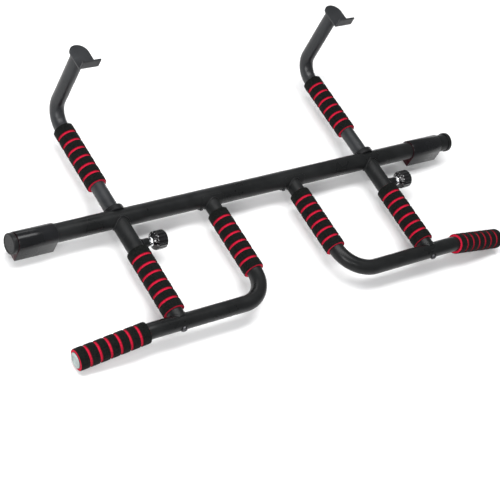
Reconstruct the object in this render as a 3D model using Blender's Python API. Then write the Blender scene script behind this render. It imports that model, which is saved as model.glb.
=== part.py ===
"""Doorway pull up bar with two bent handles and two sliding hook arms.

Metres, +Z up. X runs along the crossbar, -Y points at the user, +Y through the doorway to the
hooks. The origin is the middle of the crossbar's axis.
"""

import math

import bmesh
import bpy
from mathutils import Matrix, Vector

# ---------------------------------------------------------------- driving sizes
GAP = 0.0003  # clearance left between pieces that touch
SLIDE_CLEARANCE = 0.0005  # round the arm inside its sleeve
EDGE = 0.0006  # broken edges of small turned pieces
SEGMENTS = 20  # facets round a tube
FINE = 32  # facets of the cutters that notch one tube to another
SMALL = 12  # facets round a small fastener
CUT_REACH = 0.0400  # how far a cutter runs past the middle of the tube it crosses

BAR_LENGTH = 1.0480  # crossbar tube without its caps
BAR_RADIUS = 0.0175
BAR_WALL = 0.0018

CAP_RIM = 0.0020  # how far an end cap stands out round the bar
CAP_RADIUS = BAR_RADIUS + CAP_RIM
CAP_FLANGE = 0.0080
CAP_SPIGOT_LENGTH = 0.0150
CAP_EDGE = 0.0010

PAD_LENGTH = 0.0800
PAD_WALL = 0.0025  # round back of the pad, over the bar
PAD_FOOT = 0.0110  # flat foot below the bar
PAD_RADIUS = BAR_RADIUS + PAD_WALL
PAD_FOOT_DROP = BAR_RADIUS + PAD_FOOT
PAD_CORNER = 0.0020
LEFT_PAD_INSET = 0.0020  # from each end of the bar to its pad
RIGHT_PAD_INSET = 0.0230

GRIP_LENGTH = 0.1375
ARM_GRIP_FOAM = 0.0055  # foam thickness over each tube
SLEEVE_GRIP_FOAM = 0.0052
HANDLE_GRIP_FOAM = 0.0052
GRIP_EDGE = 0.0010

HANDLE_RADIUS = 0.0150
HANDLE_WALL = 0.0018
LEG_X = 0.1005  # inner legs of the two handles
LEG_BEND_RADIUS = 0.0600
LEG_GRIP_SETBACK = 0.0210  # from the bar to the grip on the inner leg
LEG_GRIP_Y = -(BAR_RADIUS + LEG_GRIP_SETBACK)
FRONT_Y = LEG_GRIP_Y - GRIP_LENGTH - LEG_BEND_RADIUS  # axis of the front tubes

ARM_X = 0.3055  # hook arms, each side of the middle
ARM_RADIUS = 0.0140
ARM_WALL = 0.0016
ARM_BEND_RADIUS = 0.0380
ARM_TRAVEL_IN = 0.0400  # how far the arm slides in from its middle setting
HOOK_HEIGHT = 0.1610  # underside of the hook plate

OUTER_BEND_BEYOND_ARM = 0.0625
OUTER_BEND_X = ARM_X + OUTER_BEND_BEYOND_ARM
OUTER_BEND_RADIUS = 0.0900
OUTER_DROP = math.radians(11.3)
OUTER_GRIP_FROM_TIP = 0.0006  # how far the outer grip stops short of the tube's end
OUTER_GRIP_FROM_BEND = 0.00035
OUTER_RUN = (
    OUTER_BEND_RADIUS * math.tan(OUTER_DROP / 2.0)
    + OUTER_GRIP_FROM_BEND
    + GRIP_LENGTH
    + OUTER_GRIP_FROM_TIP
)
PLUG_LENGTH = 0.0150
PLUG_THICKNESS = 0.0020

SLEEVE_WALL = 0.0015
SLEEVE_RADIUS = ARM_RADIUS + SLIDE_CLEARANCE + SLEEVE_WALL
SLEEVE_GRIP_SETBACK = 0.0075  # from the front tube to the grip on the sleeve
SLEEVE_GRIP_Y = FRONT_Y + HANDLE_RADIUS + SLEEVE_GRIP_SETBACK + GRIP_LENGTH  # its rear end

COLLAR_WALL = 0.0071
COLLAR_RADIUS = ARM_RADIUS + COLLAR_WALL
COLLAR_OVERLAP = 0.0095  # how far the collar reaches round the bar
COLLAR_PROUD = 0.0020  # how far it stands out behind the bar
COLLAR_FRONT_Y = BAR_RADIUS - COLLAR_OVERLAP
COLLAR_BACK_Y = BAR_RADIUS + COLLAR_PROUD
COLLAR_EDGE = 0.0008

INSERT_LENGTH = 0.0150
GLIDE_FLANGE = 0.0030
GLIDE_LENGTH = 0.0120
ARM_END_SPARE = 0.0160  # left between the insert and the arm when it is slid right in
ARM_INNER_END_Y = FRONT_Y + HANDLE_RADIUS + INSERT_LENGTH + ARM_END_SPARE + ARM_TRAVEL_IN
ARM_GRIP_SPARE = 0.0185  # left between the collar and the arm's grip when it is slid right in
ARM_GRIP_Y = COLLAR_BACK_Y + ARM_GRIP_SPARE + ARM_TRAVEL_IN  # front end of the arm's grip
ARM_GRIP_FROM_BEND = 0.0045
ARM_BACK_Y = ARM_GRIP_Y + GRIP_LENGTH + ARM_GRIP_FROM_BEND + ARM_BEND_RADIUS  # its upright part

HOOK_RIM = 0.0055  # how far the hook plate stands out round the arm
HOOK_HALF_WIDTH = ARM_RADIUS + HOOK_RIM
HOOK_THICKNESS = 0.0030
HOOK_REACH = 0.0230  # from the upright to the lip's front face
HOOK_FRONT_Y = ARM_BACK_Y - ARM_RADIUS - HOOK_REACH
HOOK_WELD_ROOM = 0.0020
HOOK_LIP_HEIGHT = 0.0210
HOOK_SEAT_STEP = 0.0002  # how far the seat in front of the weld stands below the rest

KNOB_FROM_GRIP = 0.0130
KNOB_Y = SLEEVE_GRIP_Y + KNOB_FROM_GRIP
BOSS_RADIUS = 0.0085
BOSS_LENGTH = 0.0150
BOSS_END = SLEEVE_RADIUS + BOSS_LENGTH  # distances from the arm's axis, along +X
LOCK_TRAVEL = 0.0030
RING_START = BOSS_END + LOCK_TRAVEL
RING_RADIUS = 0.0092
RING_LENGTH = 0.0037
RING_END = RING_START + RING_LENGTH
KNOB_START = RING_END + GAP
KNOB_RADIUS = 0.0176
KNOB_NECK_RADIUS = 0.0110
KNOB_FLUTE_DEPTH = 0.0013
KNOB_FLUTES = 16
KNOB_LENGTH = 0.0290
KNOB_END = KNOB_START + KNOB_LENGTH
KNOB_HEAD = 0.0080  # solid end of the knob, past the screw
SCREW_RADIUS = 0.0040
SCREW_END = KNOB_END - KNOB_HEAD
SHOE_RADIUS = 0.0049
SHOE_LENGTH = 0.0042
SHOE_START = ARM_RADIUS + GAP

BOLT_RADIUS = 0.0040
BOLT_HEAD_RADIUS = 0.0060
BOLT_HEAD_HEIGHT = 0.0022
BOLT_SOCKET_RADIUS = 0.0025
BOLT_LENGTH = 2.0 * HANDLE_RADIUS + INSERT_LENGTH
WASHER_RADIUS = 0.0068
WASHER_THICKNESS = 0.0006

SADDLE_HALF_WIDTH = 0.0245
SADDLE_THICKNESS = 0.0014
SADDLE_INNER = BAR_RADIUS + GAP
SADDLE_OUTER = SADDLE_INNER + SADDLE_THICKNESS
SADDLE_FROM = math.radians(112.0)  # arc about the bar, from +Y over the top
SADDLE_TO = math.radians(248.0)
SADDLE_SCREW_X = 0.0200
SADDLE_SCREW_TILT = math.radians(30.0)  # below -Y
SADDLE_SCREW_RADIUS = 0.0020
SADDLE_HEAD_RADIUS = 0.0036
SADDLE_HEAD_HEIGHT = 0.0022
SADDLE_SCREW_LENGTH = 0.0100
RIVET_NUT_RADIUS = 0.0031
RIVET_NUT_FLANGE = 0.0044
RIVET_NUT_LENGTH = 0.0070  # inside the bar

SIDES = (("left", -1.0), ("right", 1.0))


# ---------------------------------------------------------------- materials
def make_material(name, colour, roughness, metallic):
    """Principled material with one colour."""
    material = bpy.data.materials.new(name)
    material.use_nodes = True
    shader = material.node_tree.nodes["Principled BSDF"]
    shader.inputs["Base Color"].default_value = (*colour, 1.0)
    shader.inputs["Roughness"].default_value = roughness
    shader.inputs["Metallic"].default_value = metallic
    return material


def make_materials():
    """Every material, keyed by the word the parts use for it."""
    return {
        "paint": make_material("black_powder_coat", (0.030, 0.033, 0.036), 0.38, 0.0),
        "arm_paint": make_material("arm_powder_coat", (0.045, 0.047, 0.053), 0.36, 0.0),
        "pad": make_material("gloss_black_pad", (0.016, 0.017, 0.019), 0.18, 0.0),
        "nylon": make_material("black_nylon", (0.022, 0.022, 0.023), 0.45, 0.0),
        "foam": make_material("ribbed_foam", (0.014, 0.014, 0.015), 0.90, 0.0),
        "knob": make_material("gloss_black_knob", (0.018, 0.018, 0.020), 0.20, 0.0),
        "bright": make_material("bright_steel", (0.78, 0.79, 0.80), 0.22, 1.0),
        "dark_steel": make_material("black_oxide_steel", (0.050, 0.050, 0.052), 0.35, 1.0),
        "tip": make_material("grey_tip_plug", (0.52, 0.57, 0.56), 0.40, 0.0),
    }


# ---------------------------------------------------------------- mesh helpers
def add_object(name, mesh, material, parent=None, origin=(0.0, 0.0, 0.0)):
    """Put a mesh made in world coordinates in the scene, with its origin at a chosen point."""
    if material is not None:
        mesh.materials.append(material)
    mesh.transform(Matrix.Translation(-Vector(origin)))
    thing = bpy.data.objects.new(name, mesh)
    bpy.context.scene.collection.objects.link(thing)
    thing.location = origin
    if parent is not None:
        thing.parent = parent
        thing.matrix_parent_inverse = Matrix.Translation(-parent.location)
    return thing


def finish_mesh(name, bm):
    """Turn a bmesh into a mesh whose faces all point outwards."""
    bmesh.ops.recalc_face_normals(bm, faces=bm.faces)
    mesh = bpy.data.meshes.new(name)
    bm.to_mesh(mesh)
    bm.free()
    return mesh


def ring_frames(axis):
    """Two directions square to an axis, the same for equal axes."""
    axis = Vector(axis).normalized()
    helper = Vector((0, 0, 1)) if abs(axis.z) < 0.9 else Vector((0, 1, 0))
    side = helper.cross(axis).normalized()
    return side, axis.cross(side)


def revolve(name, profile, origin, axis, segments=SEGMENTS, radius_rule=None):
    """Closed solid turned from (distance, radius) points round an axis.

    A point of radius zero closes the solid on the axis. radius_rule(angle, radius) may wave it.
    """
    bm = bmesh.new()
    side, up = ring_frames(axis)
    origin, axis = Vector(origin), Vector(axis).normalized()
    rings = []
    for distance, radius in profile:
        centre = origin + axis * distance
        if radius == 0.0:
            rings.append([bm.verts.new(centre)])
            continue
        ring = []
        for step in range(segments):
            angle = 2.0 * math.pi * step / segments
            size = radius_rule(angle, radius) if radius_rule else radius
            ring.append(bm.verts.new(centre + (side * math.cos(angle) + up * math.sin(angle)) * size))
        rings.append(ring)
    for index, ring in enumerate(rings):
        following = rings[(index + 1) % len(rings)]
        if len(ring) == 1 and len(following) == 1:
            continue
        for step in range(segments):
            after = (step + 1) % segments
            if len(ring) == 1:
                bm.faces.new((ring[0], following[step], following[after]))
            elif len(following) == 1:
                bm.faces.new((ring[step], following[0], ring[after]))
            else:
                bm.faces.new((ring[step], following[step], following[after], ring[after]))
    return finish_mesh(name, bm)


def cylinder(name, start, end, radius, segments=SEGMENTS):
    """Solid cylinder between two points."""
    start, end = Vector(start), Vector(end)
    length = (end - start).length
    profile = [(0.0, 0.0), (0.0, radius), (length, radius), (length, 0.0)]
    return revolve(name, profile, start, end - start, segments)


def hollow_cylinder(name, start, end, outer, inner, chamfer=0.0):
    """Straight tube or ring between two points, its outer edges broken by a chamfer."""
    start, end = Vector(start), Vector(end)
    length = (end - start).length
    profile = [
        (0.0, inner),
        (0.0, outer - chamfer),
        (chamfer, outer),
        (length - chamfer, outer),
        (length, outer - chamfer),
        (length, inner),
    ]
    if chamfer == 0.0:
        profile = [(0.0, inner), (0.0, outer), (length, outer), (length, inner)]
    return revolve(name, profile, start, end - start)


def arc_points(centre, start_direction, end_direction, radius, steps):
    """Points of an arc between two unit directions that turn less than a half turn."""
    first, last = Vector(start_direction), Vector(end_direction)
    angle = first.angle(last)
    return [
        Vector(centre)
        + (first * math.sin(angle * (1 - i / steps)) + last * math.sin(angle * i / steps))
        / math.sin(angle)
        * radius
        for i in range(steps + 1)
    ]


def bend_points(before, corner, after, radius, steps):
    """Points of the round bend that replaces a corner between two straight runs."""
    before, corner, after = Vector(before), Vector(corner), Vector(after)
    back = (before - corner).normalized()
    ahead = (after - corner).normalized()
    half = back.angle(ahead) / 2.0
    centre = corner + (back + ahead).normalized() * (radius / math.sin(half))
    reach = radius / math.tan(half)
    start = corner + back * reach
    end = corner + ahead * reach
    return arc_points(centre, (start - centre).normalized(), (end - centre).normalized(), radius, steps)


def swept_tube(name, path, outer, inner, segments=SEGMENTS):
    """Hollow tube along a path of points that lies in one plane or turns gently."""
    bm = bmesh.new()
    path = [Vector(point) for point in path]
    rings = []
    first = (path[1] - path[0]).normalized()
    side, _ = ring_frames(first)
    for index, point in enumerate(path):
        behind = (point - path[index - 1]).normalized() if index else first
        ahead = (path[index + 1] - point).normalized() if index + 1 < len(path) else behind
        tangent = (behind + ahead).normalized()
        side = (side - tangent * side.dot(tangent)).normalized()
        up = tangent.cross(side)
        for radius in (outer, inner):
            ring = []
            for step in range(segments):
                angle = 2.0 * math.pi * step / segments
                ring.append(bm.verts.new(point + (side * math.cos(angle) + up * math.sin(angle)) * radius))
            rings.append(ring)
    outside, inside = rings[0::2], rings[1::2]
    for rows in (outside, inside):
        for one, two in zip(rows, rows[1:]):
            for step in range(segments):
                after = (step + 1) % segments
                bm.faces.new((one[step], two[step], two[after], one[after]))
    for row, inner_row in ((outside[0], inside[0]), (outside[-1], inside[-1])):
        for step in range(segments):
            after = (step + 1) % segments
            bm.faces.new((row[step], row[after], inner_row[after], inner_row[step]))
    return finish_mesh(name, bm)


def prism(name, outline, offset):
    """Solid between an outline of points and its copy moved by an offset."""
    bm = bmesh.new()
    low = [bm.verts.new(Vector(point)) for point in outline]
    high = [bm.verts.new(Vector(point) + Vector(offset)) for point in outline]
    bm.faces.new(low)
    bm.faces.new(list(reversed(high)))
    for index in range(len(outline)):
        after = (index + 1) % len(outline)
        bm.faces.new((low[index], low[after], high[after], high[index]))
    return finish_mesh(name, bm)


def cutter(name, mesh):
    """Helper solid that only shapes other objects."""
    thing = add_object(name, mesh, None)
    thing.hide_render = True
    thing.display_type = "WIRE"
    return thing


def shape(target, tool, operation):
    """Boolean modifier with the exact solver."""
    modifier = target.modifiers.new(operation.lower() + "_" + tool.name, "BOOLEAN")
    modifier.operation = operation
    modifier.object = tool
    modifier.solver = "EXACT"
    return modifier


def empty(name, location):
    """Frame on a joint's axis that the pieces of a moving body hang from."""
    frame = bpy.data.objects.new(name, None)
    frame.empty_display_size = 0.02
    bpy.context.scene.collection.objects.link(frame)
    frame.location = location
    return frame


# ---------------------------------------------------------------- crossbar
def screw_direction():
    """Way the saddle screws point out of the crossbar."""
    return Vector((0, -math.cos(SADDLE_SCREW_TILT), -math.sin(SADDLE_SCREW_TILT)))


def build_crossbar(mats):
    """Crossbar tube with the holes that the hook arms and the saddle screws pass through."""
    half = BAR_LENGTH / 2.0
    mesh = hollow_cylinder(
        "crossbar_tube", (-half, 0, 0), (half, 0, 0), BAR_RADIUS, BAR_RADIUS - BAR_WALL
    )
    bar = add_object("crossbar_tube", mesh, mats["paint"])
    for side, sign in SIDES:
        hole = cylinder(
            side + "_arm_hole",
            (sign * ARM_X, -CUT_REACH, 0),
            (sign * ARM_X, CUT_REACH, 0),
            ARM_RADIUS + 2.0 * GAP,
        )
        shape(bar, cutter(side + "_arm_hole", hole), "DIFFERENCE")
        for label, offset in (("a", -SADDLE_SCREW_X), ("b", SADDLE_SCREW_X)):
            x = sign * LEG_X + offset
            hole = cylinder(
                side + "_saddle_hole_" + label,
                (x, 0, 0),
                Vector((x, 0, 0)) + screw_direction() * CUT_REACH,
                RIVET_NUT_RADIUS + GAP,
                SMALL,
            )
            shape(bar, cutter(side + "_saddle_hole_" + label, hole), "DIFFERENCE")
    return bar


def build_end_caps(mats):
    """Plug with a wide flange in each end of the crossbar."""
    spigot = BAR_RADIUS - BAR_WALL - GAP
    for side, sign in SIDES:
        profile = [
            (-CAP_SPIGOT_LENGTH, 0.0),
            (-CAP_SPIGOT_LENGTH, spigot - CAP_EDGE),
            (-CAP_SPIGOT_LENGTH + CAP_EDGE, spigot),
            (GAP, spigot),
            (GAP, CAP_RADIUS),
            (CAP_FLANGE - CAP_EDGE, CAP_RADIUS),
            (CAP_FLANGE, CAP_RADIUS - CAP_EDGE),
            (CAP_FLANGE, 0.0),
        ]
        mesh = revolve(side + "_end_cap", profile, (sign * BAR_LENGTH / 2.0, 0, 0), (sign, 0, 0))
        add_object(side + "_end_cap", mesh, mats["nylon"])


def build_door_pad(mats, side, start):
    """Pad that turns on the bar: a round back, straight sides and a flat foot."""
    name = side + "_door_pad"
    outline = []
    steps = 16
    for step in range(steps + 1):
        angle = math.pi * step / steps
        outline.append((start, PAD_RADIUS * math.cos(angle), PAD_RADIUS * math.sin(angle)))
    for turn in (-1.0, 1.0):
        corners = []
        for step in range(4):
            angle = math.pi / 2.0 * step / 3.0
            across = PAD_RADIUS - PAD_CORNER * (1.0 - math.cos(angle))
            down = PAD_FOOT_DROP - PAD_CORNER * (1.0 - math.sin(angle))
            corners.append((start, turn * across, -down))
        outline += corners if turn < 0.0 else list(reversed(corners))
    hub = empty(side + "_pad_axis", (start + PAD_LENGTH / 2.0, 0, 0))
    pad = add_object(name, prism(name, outline, (PAD_LENGTH, 0, 0)), mats["pad"], hub, hub.location)
    low = (start - CUT_REACH, 0, 0)
    high = (start + PAD_LENGTH + CUT_REACH, 0, 0)
    bore = cylinder(side + "_pad_bore", low, high, BAR_RADIUS + GAP, FINE)
    shape(pad, cutter(side + "_pad_bore", bore), "DIFFERENCE")


# ---------------------------------------------------------------- sleeves and hook arms
def build_sleeve(mats, side, sign):
    """Fixed outer tube of the telescope, notched to the crossbar and to the front tube."""
    x = sign * ARM_X
    inner = SLEEVE_RADIUS - SLEEVE_WALL
    mesh = hollow_cylinder(side + "_sleeve_tube", (x, 0, 0), (x, FRONT_Y, 0), SLEEVE_RADIUS, inner)
    sleeve = add_object(side + "_sleeve_tube", mesh, mats["paint"])
    notches = (
        ("bar_notch", 0.0, BAR_RADIUS + GAP),
        ("front_notch", FRONT_Y, HANDLE_RADIUS + GAP),
    )
    for label, y, radius in notches:
        mesh = cylinder(side + "_" + label, (x - CUT_REACH, y, 0), (x + CUT_REACH, y, 0), radius, FINE)
        shape(sleeve, cutter(side + "_" + label, mesh), "DIFFERENCE")
    mesh = cylinder(
        side + "_shoe_hole", (x, KNOB_Y, 0), (x + CUT_REACH, KNOB_Y, 0), SHOE_RADIUS + GAP, 16
    )
    shape(sleeve, cutter(side + "_shoe_hole", mesh), "DIFFERENCE")


def build_guide_collar(mats, side, sign):
    """Collar behind the crossbar that guides the arm, hollowed to sit on the bar."""
    x = sign * ARM_X
    mesh = hollow_cylinder(
        side + "_guide_collar",
        (x, COLLAR_FRONT_Y, 0),
        (x, COLLAR_BACK_Y, 0),
        COLLAR_RADIUS,
        ARM_RADIUS + 1.5 * GAP,
        COLLAR_EDGE,
    )
    collar = add_object(side + "_guide_collar", mesh, mats["nylon"])
    mesh = cylinder(
        side + "_collar_seat", (x - CUT_REACH, 0, 0), (x + CUT_REACH, 0, 0), BAR_RADIUS + GAP, FINE
    )
    shape(collar, cutter(side + "_collar_seat", mesh), "DIFFERENCE")


def build_hook_arm(mats, side, sign):
    """Sliding inner tube with its upright end, the hook plate on it and the glide in its end."""
    x = sign * ARM_X
    slide = empty(side + "_arm_slide_frame", (x, 0, 0))
    top = HOOK_HEIGHT - GAP
    corner = (x, ARM_BACK_Y, 0)
    path = [(x, ARM_INNER_END_Y, 0)]
    path += bend_points((x, 0, 0), corner, (x, ARM_BACK_Y, top), ARM_BEND_RADIUS, 7)
    path += [(x, ARM_BACK_Y, top)]
    mesh = swept_tube(side + "_hook_arm", path, ARM_RADIUS, ARM_RADIUS - ARM_WALL)
    add_object(side + "_hook_arm", mesh, mats["arm_paint"], slide, slide.location)

    spigot = ARM_RADIUS - ARM_WALL - GAP
    profile = [
        (0.0, 0.0),
        (0.0, ARM_RADIUS),
        (GLIDE_FLANGE, ARM_RADIUS + GAP / 2.0),
        (GLIDE_FLANGE, spigot),
        (GLIDE_LENGTH, spigot - EDGE),
        (GLIDE_LENGTH, 0.0),
    ]
    start = (x, ARM_INNER_END_Y - GLIDE_FLANGE - GAP, 0)
    mesh = revolve(side + "_arm_glide", profile, start, (0, 1, 0))
    add_object(side + "_arm_glide", mesh, mats["nylon"], slide, slide.location)
    build_hook_plate(mats, side, x, slide)
    mesh = hollow_cylinder(
        side + "_arm_grip",
        (x, ARM_GRIP_Y, 0),
        (x, ARM_GRIP_Y + GRIP_LENGTH, 0),
        ARM_RADIUS + ARM_GRIP_FOAM,
        ARM_RADIUS + GAP,
        GRIP_EDGE,
    )
    add_object(side + "_arm_grip", mesh, mats["foam"], slide, slide.location)


def build_hook_plate(mats, side, x, slide):
    """Sheet hook: a plate with a round rear end and a lip turned up along its front edge."""
    half = HOOK_HALF_WIDTH
    thick = HOOK_THICKNESS
    under = HOOK_HEIGHT
    tube_front = ARM_BACK_Y - ARM_RADIUS - HOOK_WELD_ROOM
    bm = bmesh.new()
    rear = [(x + half, ARM_BACK_Y)]
    steps = 14
    for step in range(1, steps):
        angle = math.pi * step / steps
        rear.append((x + half * math.cos(angle), ARM_BACK_Y + half * math.sin(angle)))
    rear.append((x - half, ARM_BACK_Y))
    outline = [(x - half, tube_front), (x + half, tube_front)] + rear
    low = [bm.verts.new((px, py, under)) for px, py in outline]
    high = [bm.verts.new((px, py, under + thick)) for px, py in outline]
    front = HOOK_FRONT_Y
    lip_top = under + HOOK_LIP_HEIGHT
    seat = under - HOOK_SEAT_STEP
    strip = [
        (front, seat),
        (front, lip_top),
        (front + thick, lip_top),
        (front + thick, under + thick),
    ]
    left = [bm.verts.new((x - half, py, pz)) for py, pz in strip]
    right = [bm.verts.new((x + half, py, pz)) for py, pz in strip]
    step_left = bm.verts.new((x - half, tube_front, seat))
    step_right = bm.verts.new((x + half, tube_front, seat))
    count = len(outline)
    bm.faces.new(list(reversed(low)))
    bm.faces.new(high)
    for index in range(1, count):
        after = (index + 1) % count
        bm.faces.new((low[index], low[after], high[after], high[index]))
    bm.faces.new((step_left, step_right, right[0], left[0]))
    bm.faces.new((low[0], low[1], step_right, step_left))
    bm.faces.new((left[0], right[0], right[1], left[1]))
    bm.faces.new((left[1], right[1], right[2], left[2]))
    bm.faces.new((left[2], right[2], right[3], left[3]))
    bm.faces.new((left[3], right[3], high[1], high[0]))
    bm.faces.new((left[0], left[1], left[2], left[3], high[0], low[0], step_left))
    bm.faces.new((right[3], right[2], right[1], right[0], step_right, low[1], high[1]))
    mesh = finish_mesh(side + "_hook_plate", bm)
    add_object(side + "_hook_plate", mesh, mats["arm_paint"], slide, slide.location)


# ---------------------------------------------------------------- lock knobs
def build_lock(mats, side, sign):
    """Boss, shoe, screw, ring and knob that clamp the arm from its +X side."""
    x = sign * ARM_X
    base = (x, KNOB_Y, 0)
    along = (1, 0, 0)
    hole = SCREW_RADIUS + GAP
    shoe_end = SHOE_START + SHOE_LENGTH
    pocket_end = shoe_end + LOCK_TRAVEL + 2.0 * GAP
    profile = [
        (ARM_RADIUS, SHOE_RADIUS + GAP),
        (ARM_RADIUS, BOSS_RADIUS),
        (BOSS_END - EDGE, BOSS_RADIUS),
        (BOSS_END, BOSS_RADIUS - EDGE),
        (BOSS_END, hole),
        (pocket_end, hole),
        (pocket_end, SHOE_RADIUS + GAP),
    ]
    boss = add_object(side + "_knob_boss", revolve(side + "_knob_boss", profile, base, along), mats["paint"])
    seat = cylinder(
        side + "_boss_seat",
        (x, KNOB_Y - CUT_REACH, 0),
        (x, KNOB_Y + CUT_REACH, 0),
        SLEEVE_RADIUS + GAP,
        FINE,
    )
    shape(boss, cutter(side + "_boss_seat", seat), "DIFFERENCE")

    carriage = empty(side + "_lock_slide_frame", base)
    mesh = cylinder(
        side + "_clamp_shoe",
        (x + SHOE_START, KNOB_Y, 0),
        (x + shoe_end, KNOB_Y, 0),
        SHOE_RADIUS,
        16,
    )
    add_object(side + "_clamp_shoe", mesh, mats["nylon"], carriage, base)

    axle = empty(side + "_knob_axis", base)
    axle.parent = carriage
    axle.matrix_parent_inverse = Matrix.Translation(-carriage.location)
    screw_start = shoe_end + GAP
    profile = [
        (screw_start, 0.0),
        (screw_start, SCREW_RADIUS - EDGE),
        (screw_start + EDGE, SCREW_RADIUS),
        (SCREW_END, SCREW_RADIUS),
        (SCREW_END, 0.0),
    ]
    add_object(
        side + "_lock_screw",
        revolve(side + "_lock_screw", profile, base, along, 16),
        mats["bright"],
        axle,
        base,
    )

    profile = [
        (RING_START, hole),
        (RING_START, RING_RADIUS - EDGE),
        (RING_START + EDGE, RING_RADIUS),
        (RING_END, RING_RADIUS),
        (RING_END, hole),
    ]
    mesh = revolve(side + "_knob_ring", profile, base, along)
    add_object(side + "_knob_ring", mesh, mats["bright"], axle, base)

    profile = [
        (KNOB_START, hole),
        (KNOB_START, KNOB_NECK_RADIUS),
        (KNOB_START + 0.0035, KNOB_NECK_RADIUS + 0.0010),
        (KNOB_START + 0.0055, KNOB_RADIUS - 0.0008),
        (KNOB_START + 0.0070, KNOB_RADIUS),
        (KNOB_END - 0.0030, KNOB_RADIUS),
        (KNOB_END, KNOB_RADIUS - 0.0035),
        (KNOB_END, 0.0),
        (SCREW_END + GAP, 0.0),
        (SCREW_END + GAP, hole),
    ]

    def fluted(angle, radius):
        if radius < KNOB_RADIUS - 0.0010:
            return radius
        return radius - KNOB_FLUTE_DEPTH * (0.5 - 0.5 * math.cos(KNOB_FLUTES * angle))

    mesh = revolve(side + "_lock_knob", profile, base, along, KNOB_FLUTES * 3, fluted)
    add_object(side + "_lock_knob", mesh, mats["knob"], axle, base)


# ---------------------------------------------------------------- handles
def outer_direction(sign):
    """Way the outer handle points, dropping below the level of the front tube."""
    return Vector((sign * math.cos(OUTER_DROP), 0, -math.sin(OUTER_DROP)))


def handle_tip(sign):
    """End of the outer handle's tube."""
    return Vector((sign * OUTER_BEND_X, FRONT_Y, 0)) + outer_direction(sign) * OUTER_RUN


def build_handle(mats, side, sign):
    """One bent tube: inner leg, front run and dropped outer handle, with its grips and tip plug."""
    leg = Vector((sign * LEG_X, 0, 0))
    inner_corner = Vector((sign * LEG_X, FRONT_Y, 0))
    outer_corner = Vector((sign * OUTER_BEND_X, FRONT_Y, 0))
    tip = handle_tip(sign)
    path = [leg]
    path += bend_points(leg, inner_corner, outer_corner, LEG_BEND_RADIUS, 8)
    path += bend_points(inner_corner, outer_corner, tip, OUTER_BEND_RADIUS, 2)
    path += [tip]
    mesh = swept_tube(side + "_handle_tube", path, HANDLE_RADIUS, HANDLE_RADIUS - HANDLE_WALL)
    tube = add_object(side + "_handle_tube", mesh, mats["paint"])
    x = sign * LEG_X
    mesh = cylinder(
        side + "_leg_notch", (x - CUT_REACH, 0, 0), (x + CUT_REACH, 0, 0), SADDLE_OUTER + GAP, FINE
    )
    shape(tube, cutter(side + "_leg_notch", mesh), "DIFFERENCE")
    x = sign * ARM_X
    mesh = cylinder(
        side + "_bolt_hole",
        (x, FRONT_Y - CUT_REACH, 0),
        (x, FRONT_Y + CUT_REACH, 0),
        BOLT_RADIUS + GAP,
        16,
    )
    shape(tube, cutter(side + "_bolt_hole", mesh), "DIFFERENCE")

    way = outer_direction(sign)
    spigot = HANDLE_RADIUS - HANDLE_WALL - GAP
    profile = [
        (-PLUG_LENGTH, 0.0),
        (-PLUG_LENGTH, spigot - EDGE),
        (-PLUG_LENGTH + EDGE, spigot),
        (GAP, spigot),
        (GAP, HANDLE_RADIUS),
        (PLUG_THICKNESS - EDGE, HANDLE_RADIUS),
        (PLUG_THICKNESS, HANDLE_RADIUS - EDGE),
        (PLUG_THICKNESS, 0.0),
    ]
    mesh = revolve(side + "_handle_plug", profile, tip, way)
    add_object(side + "_handle_plug", mesh, mats["tip"])

    outer_end = tip - way * OUTER_GRIP_FROM_TIP
    grips = (
        ("leg_grip", Vector((sign * LEG_X, LEG_GRIP_Y, 0)), Vector((0, -1, 0))),
        ("outer_grip", outer_end, -way),
    )
    for label, start, direction in grips:
        name = side + "_" + label
        mesh = hollow_cylinder(
            name,
            start,
            start + direction * GRIP_LENGTH,
            HANDLE_RADIUS + HANDLE_GRIP_FOAM,
            HANDLE_RADIUS + GAP,
            GRIP_EDGE,
        )
        add_object(name, mesh, mats["foam"])
    x = sign * ARM_X
    mesh = hollow_cylinder(
        side + "_sleeve_grip",
        (x, SLEEVE_GRIP_Y, 0),
        (x, SLEEVE_GRIP_Y - GRIP_LENGTH, 0),
        SLEEVE_RADIUS + SLEEVE_GRIP_FOAM,
        SLEEVE_RADIUS + GAP,
        GRIP_EDGE,
    )
    add_object(side + "_sleeve_grip", mesh, mats["foam"])


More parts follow.
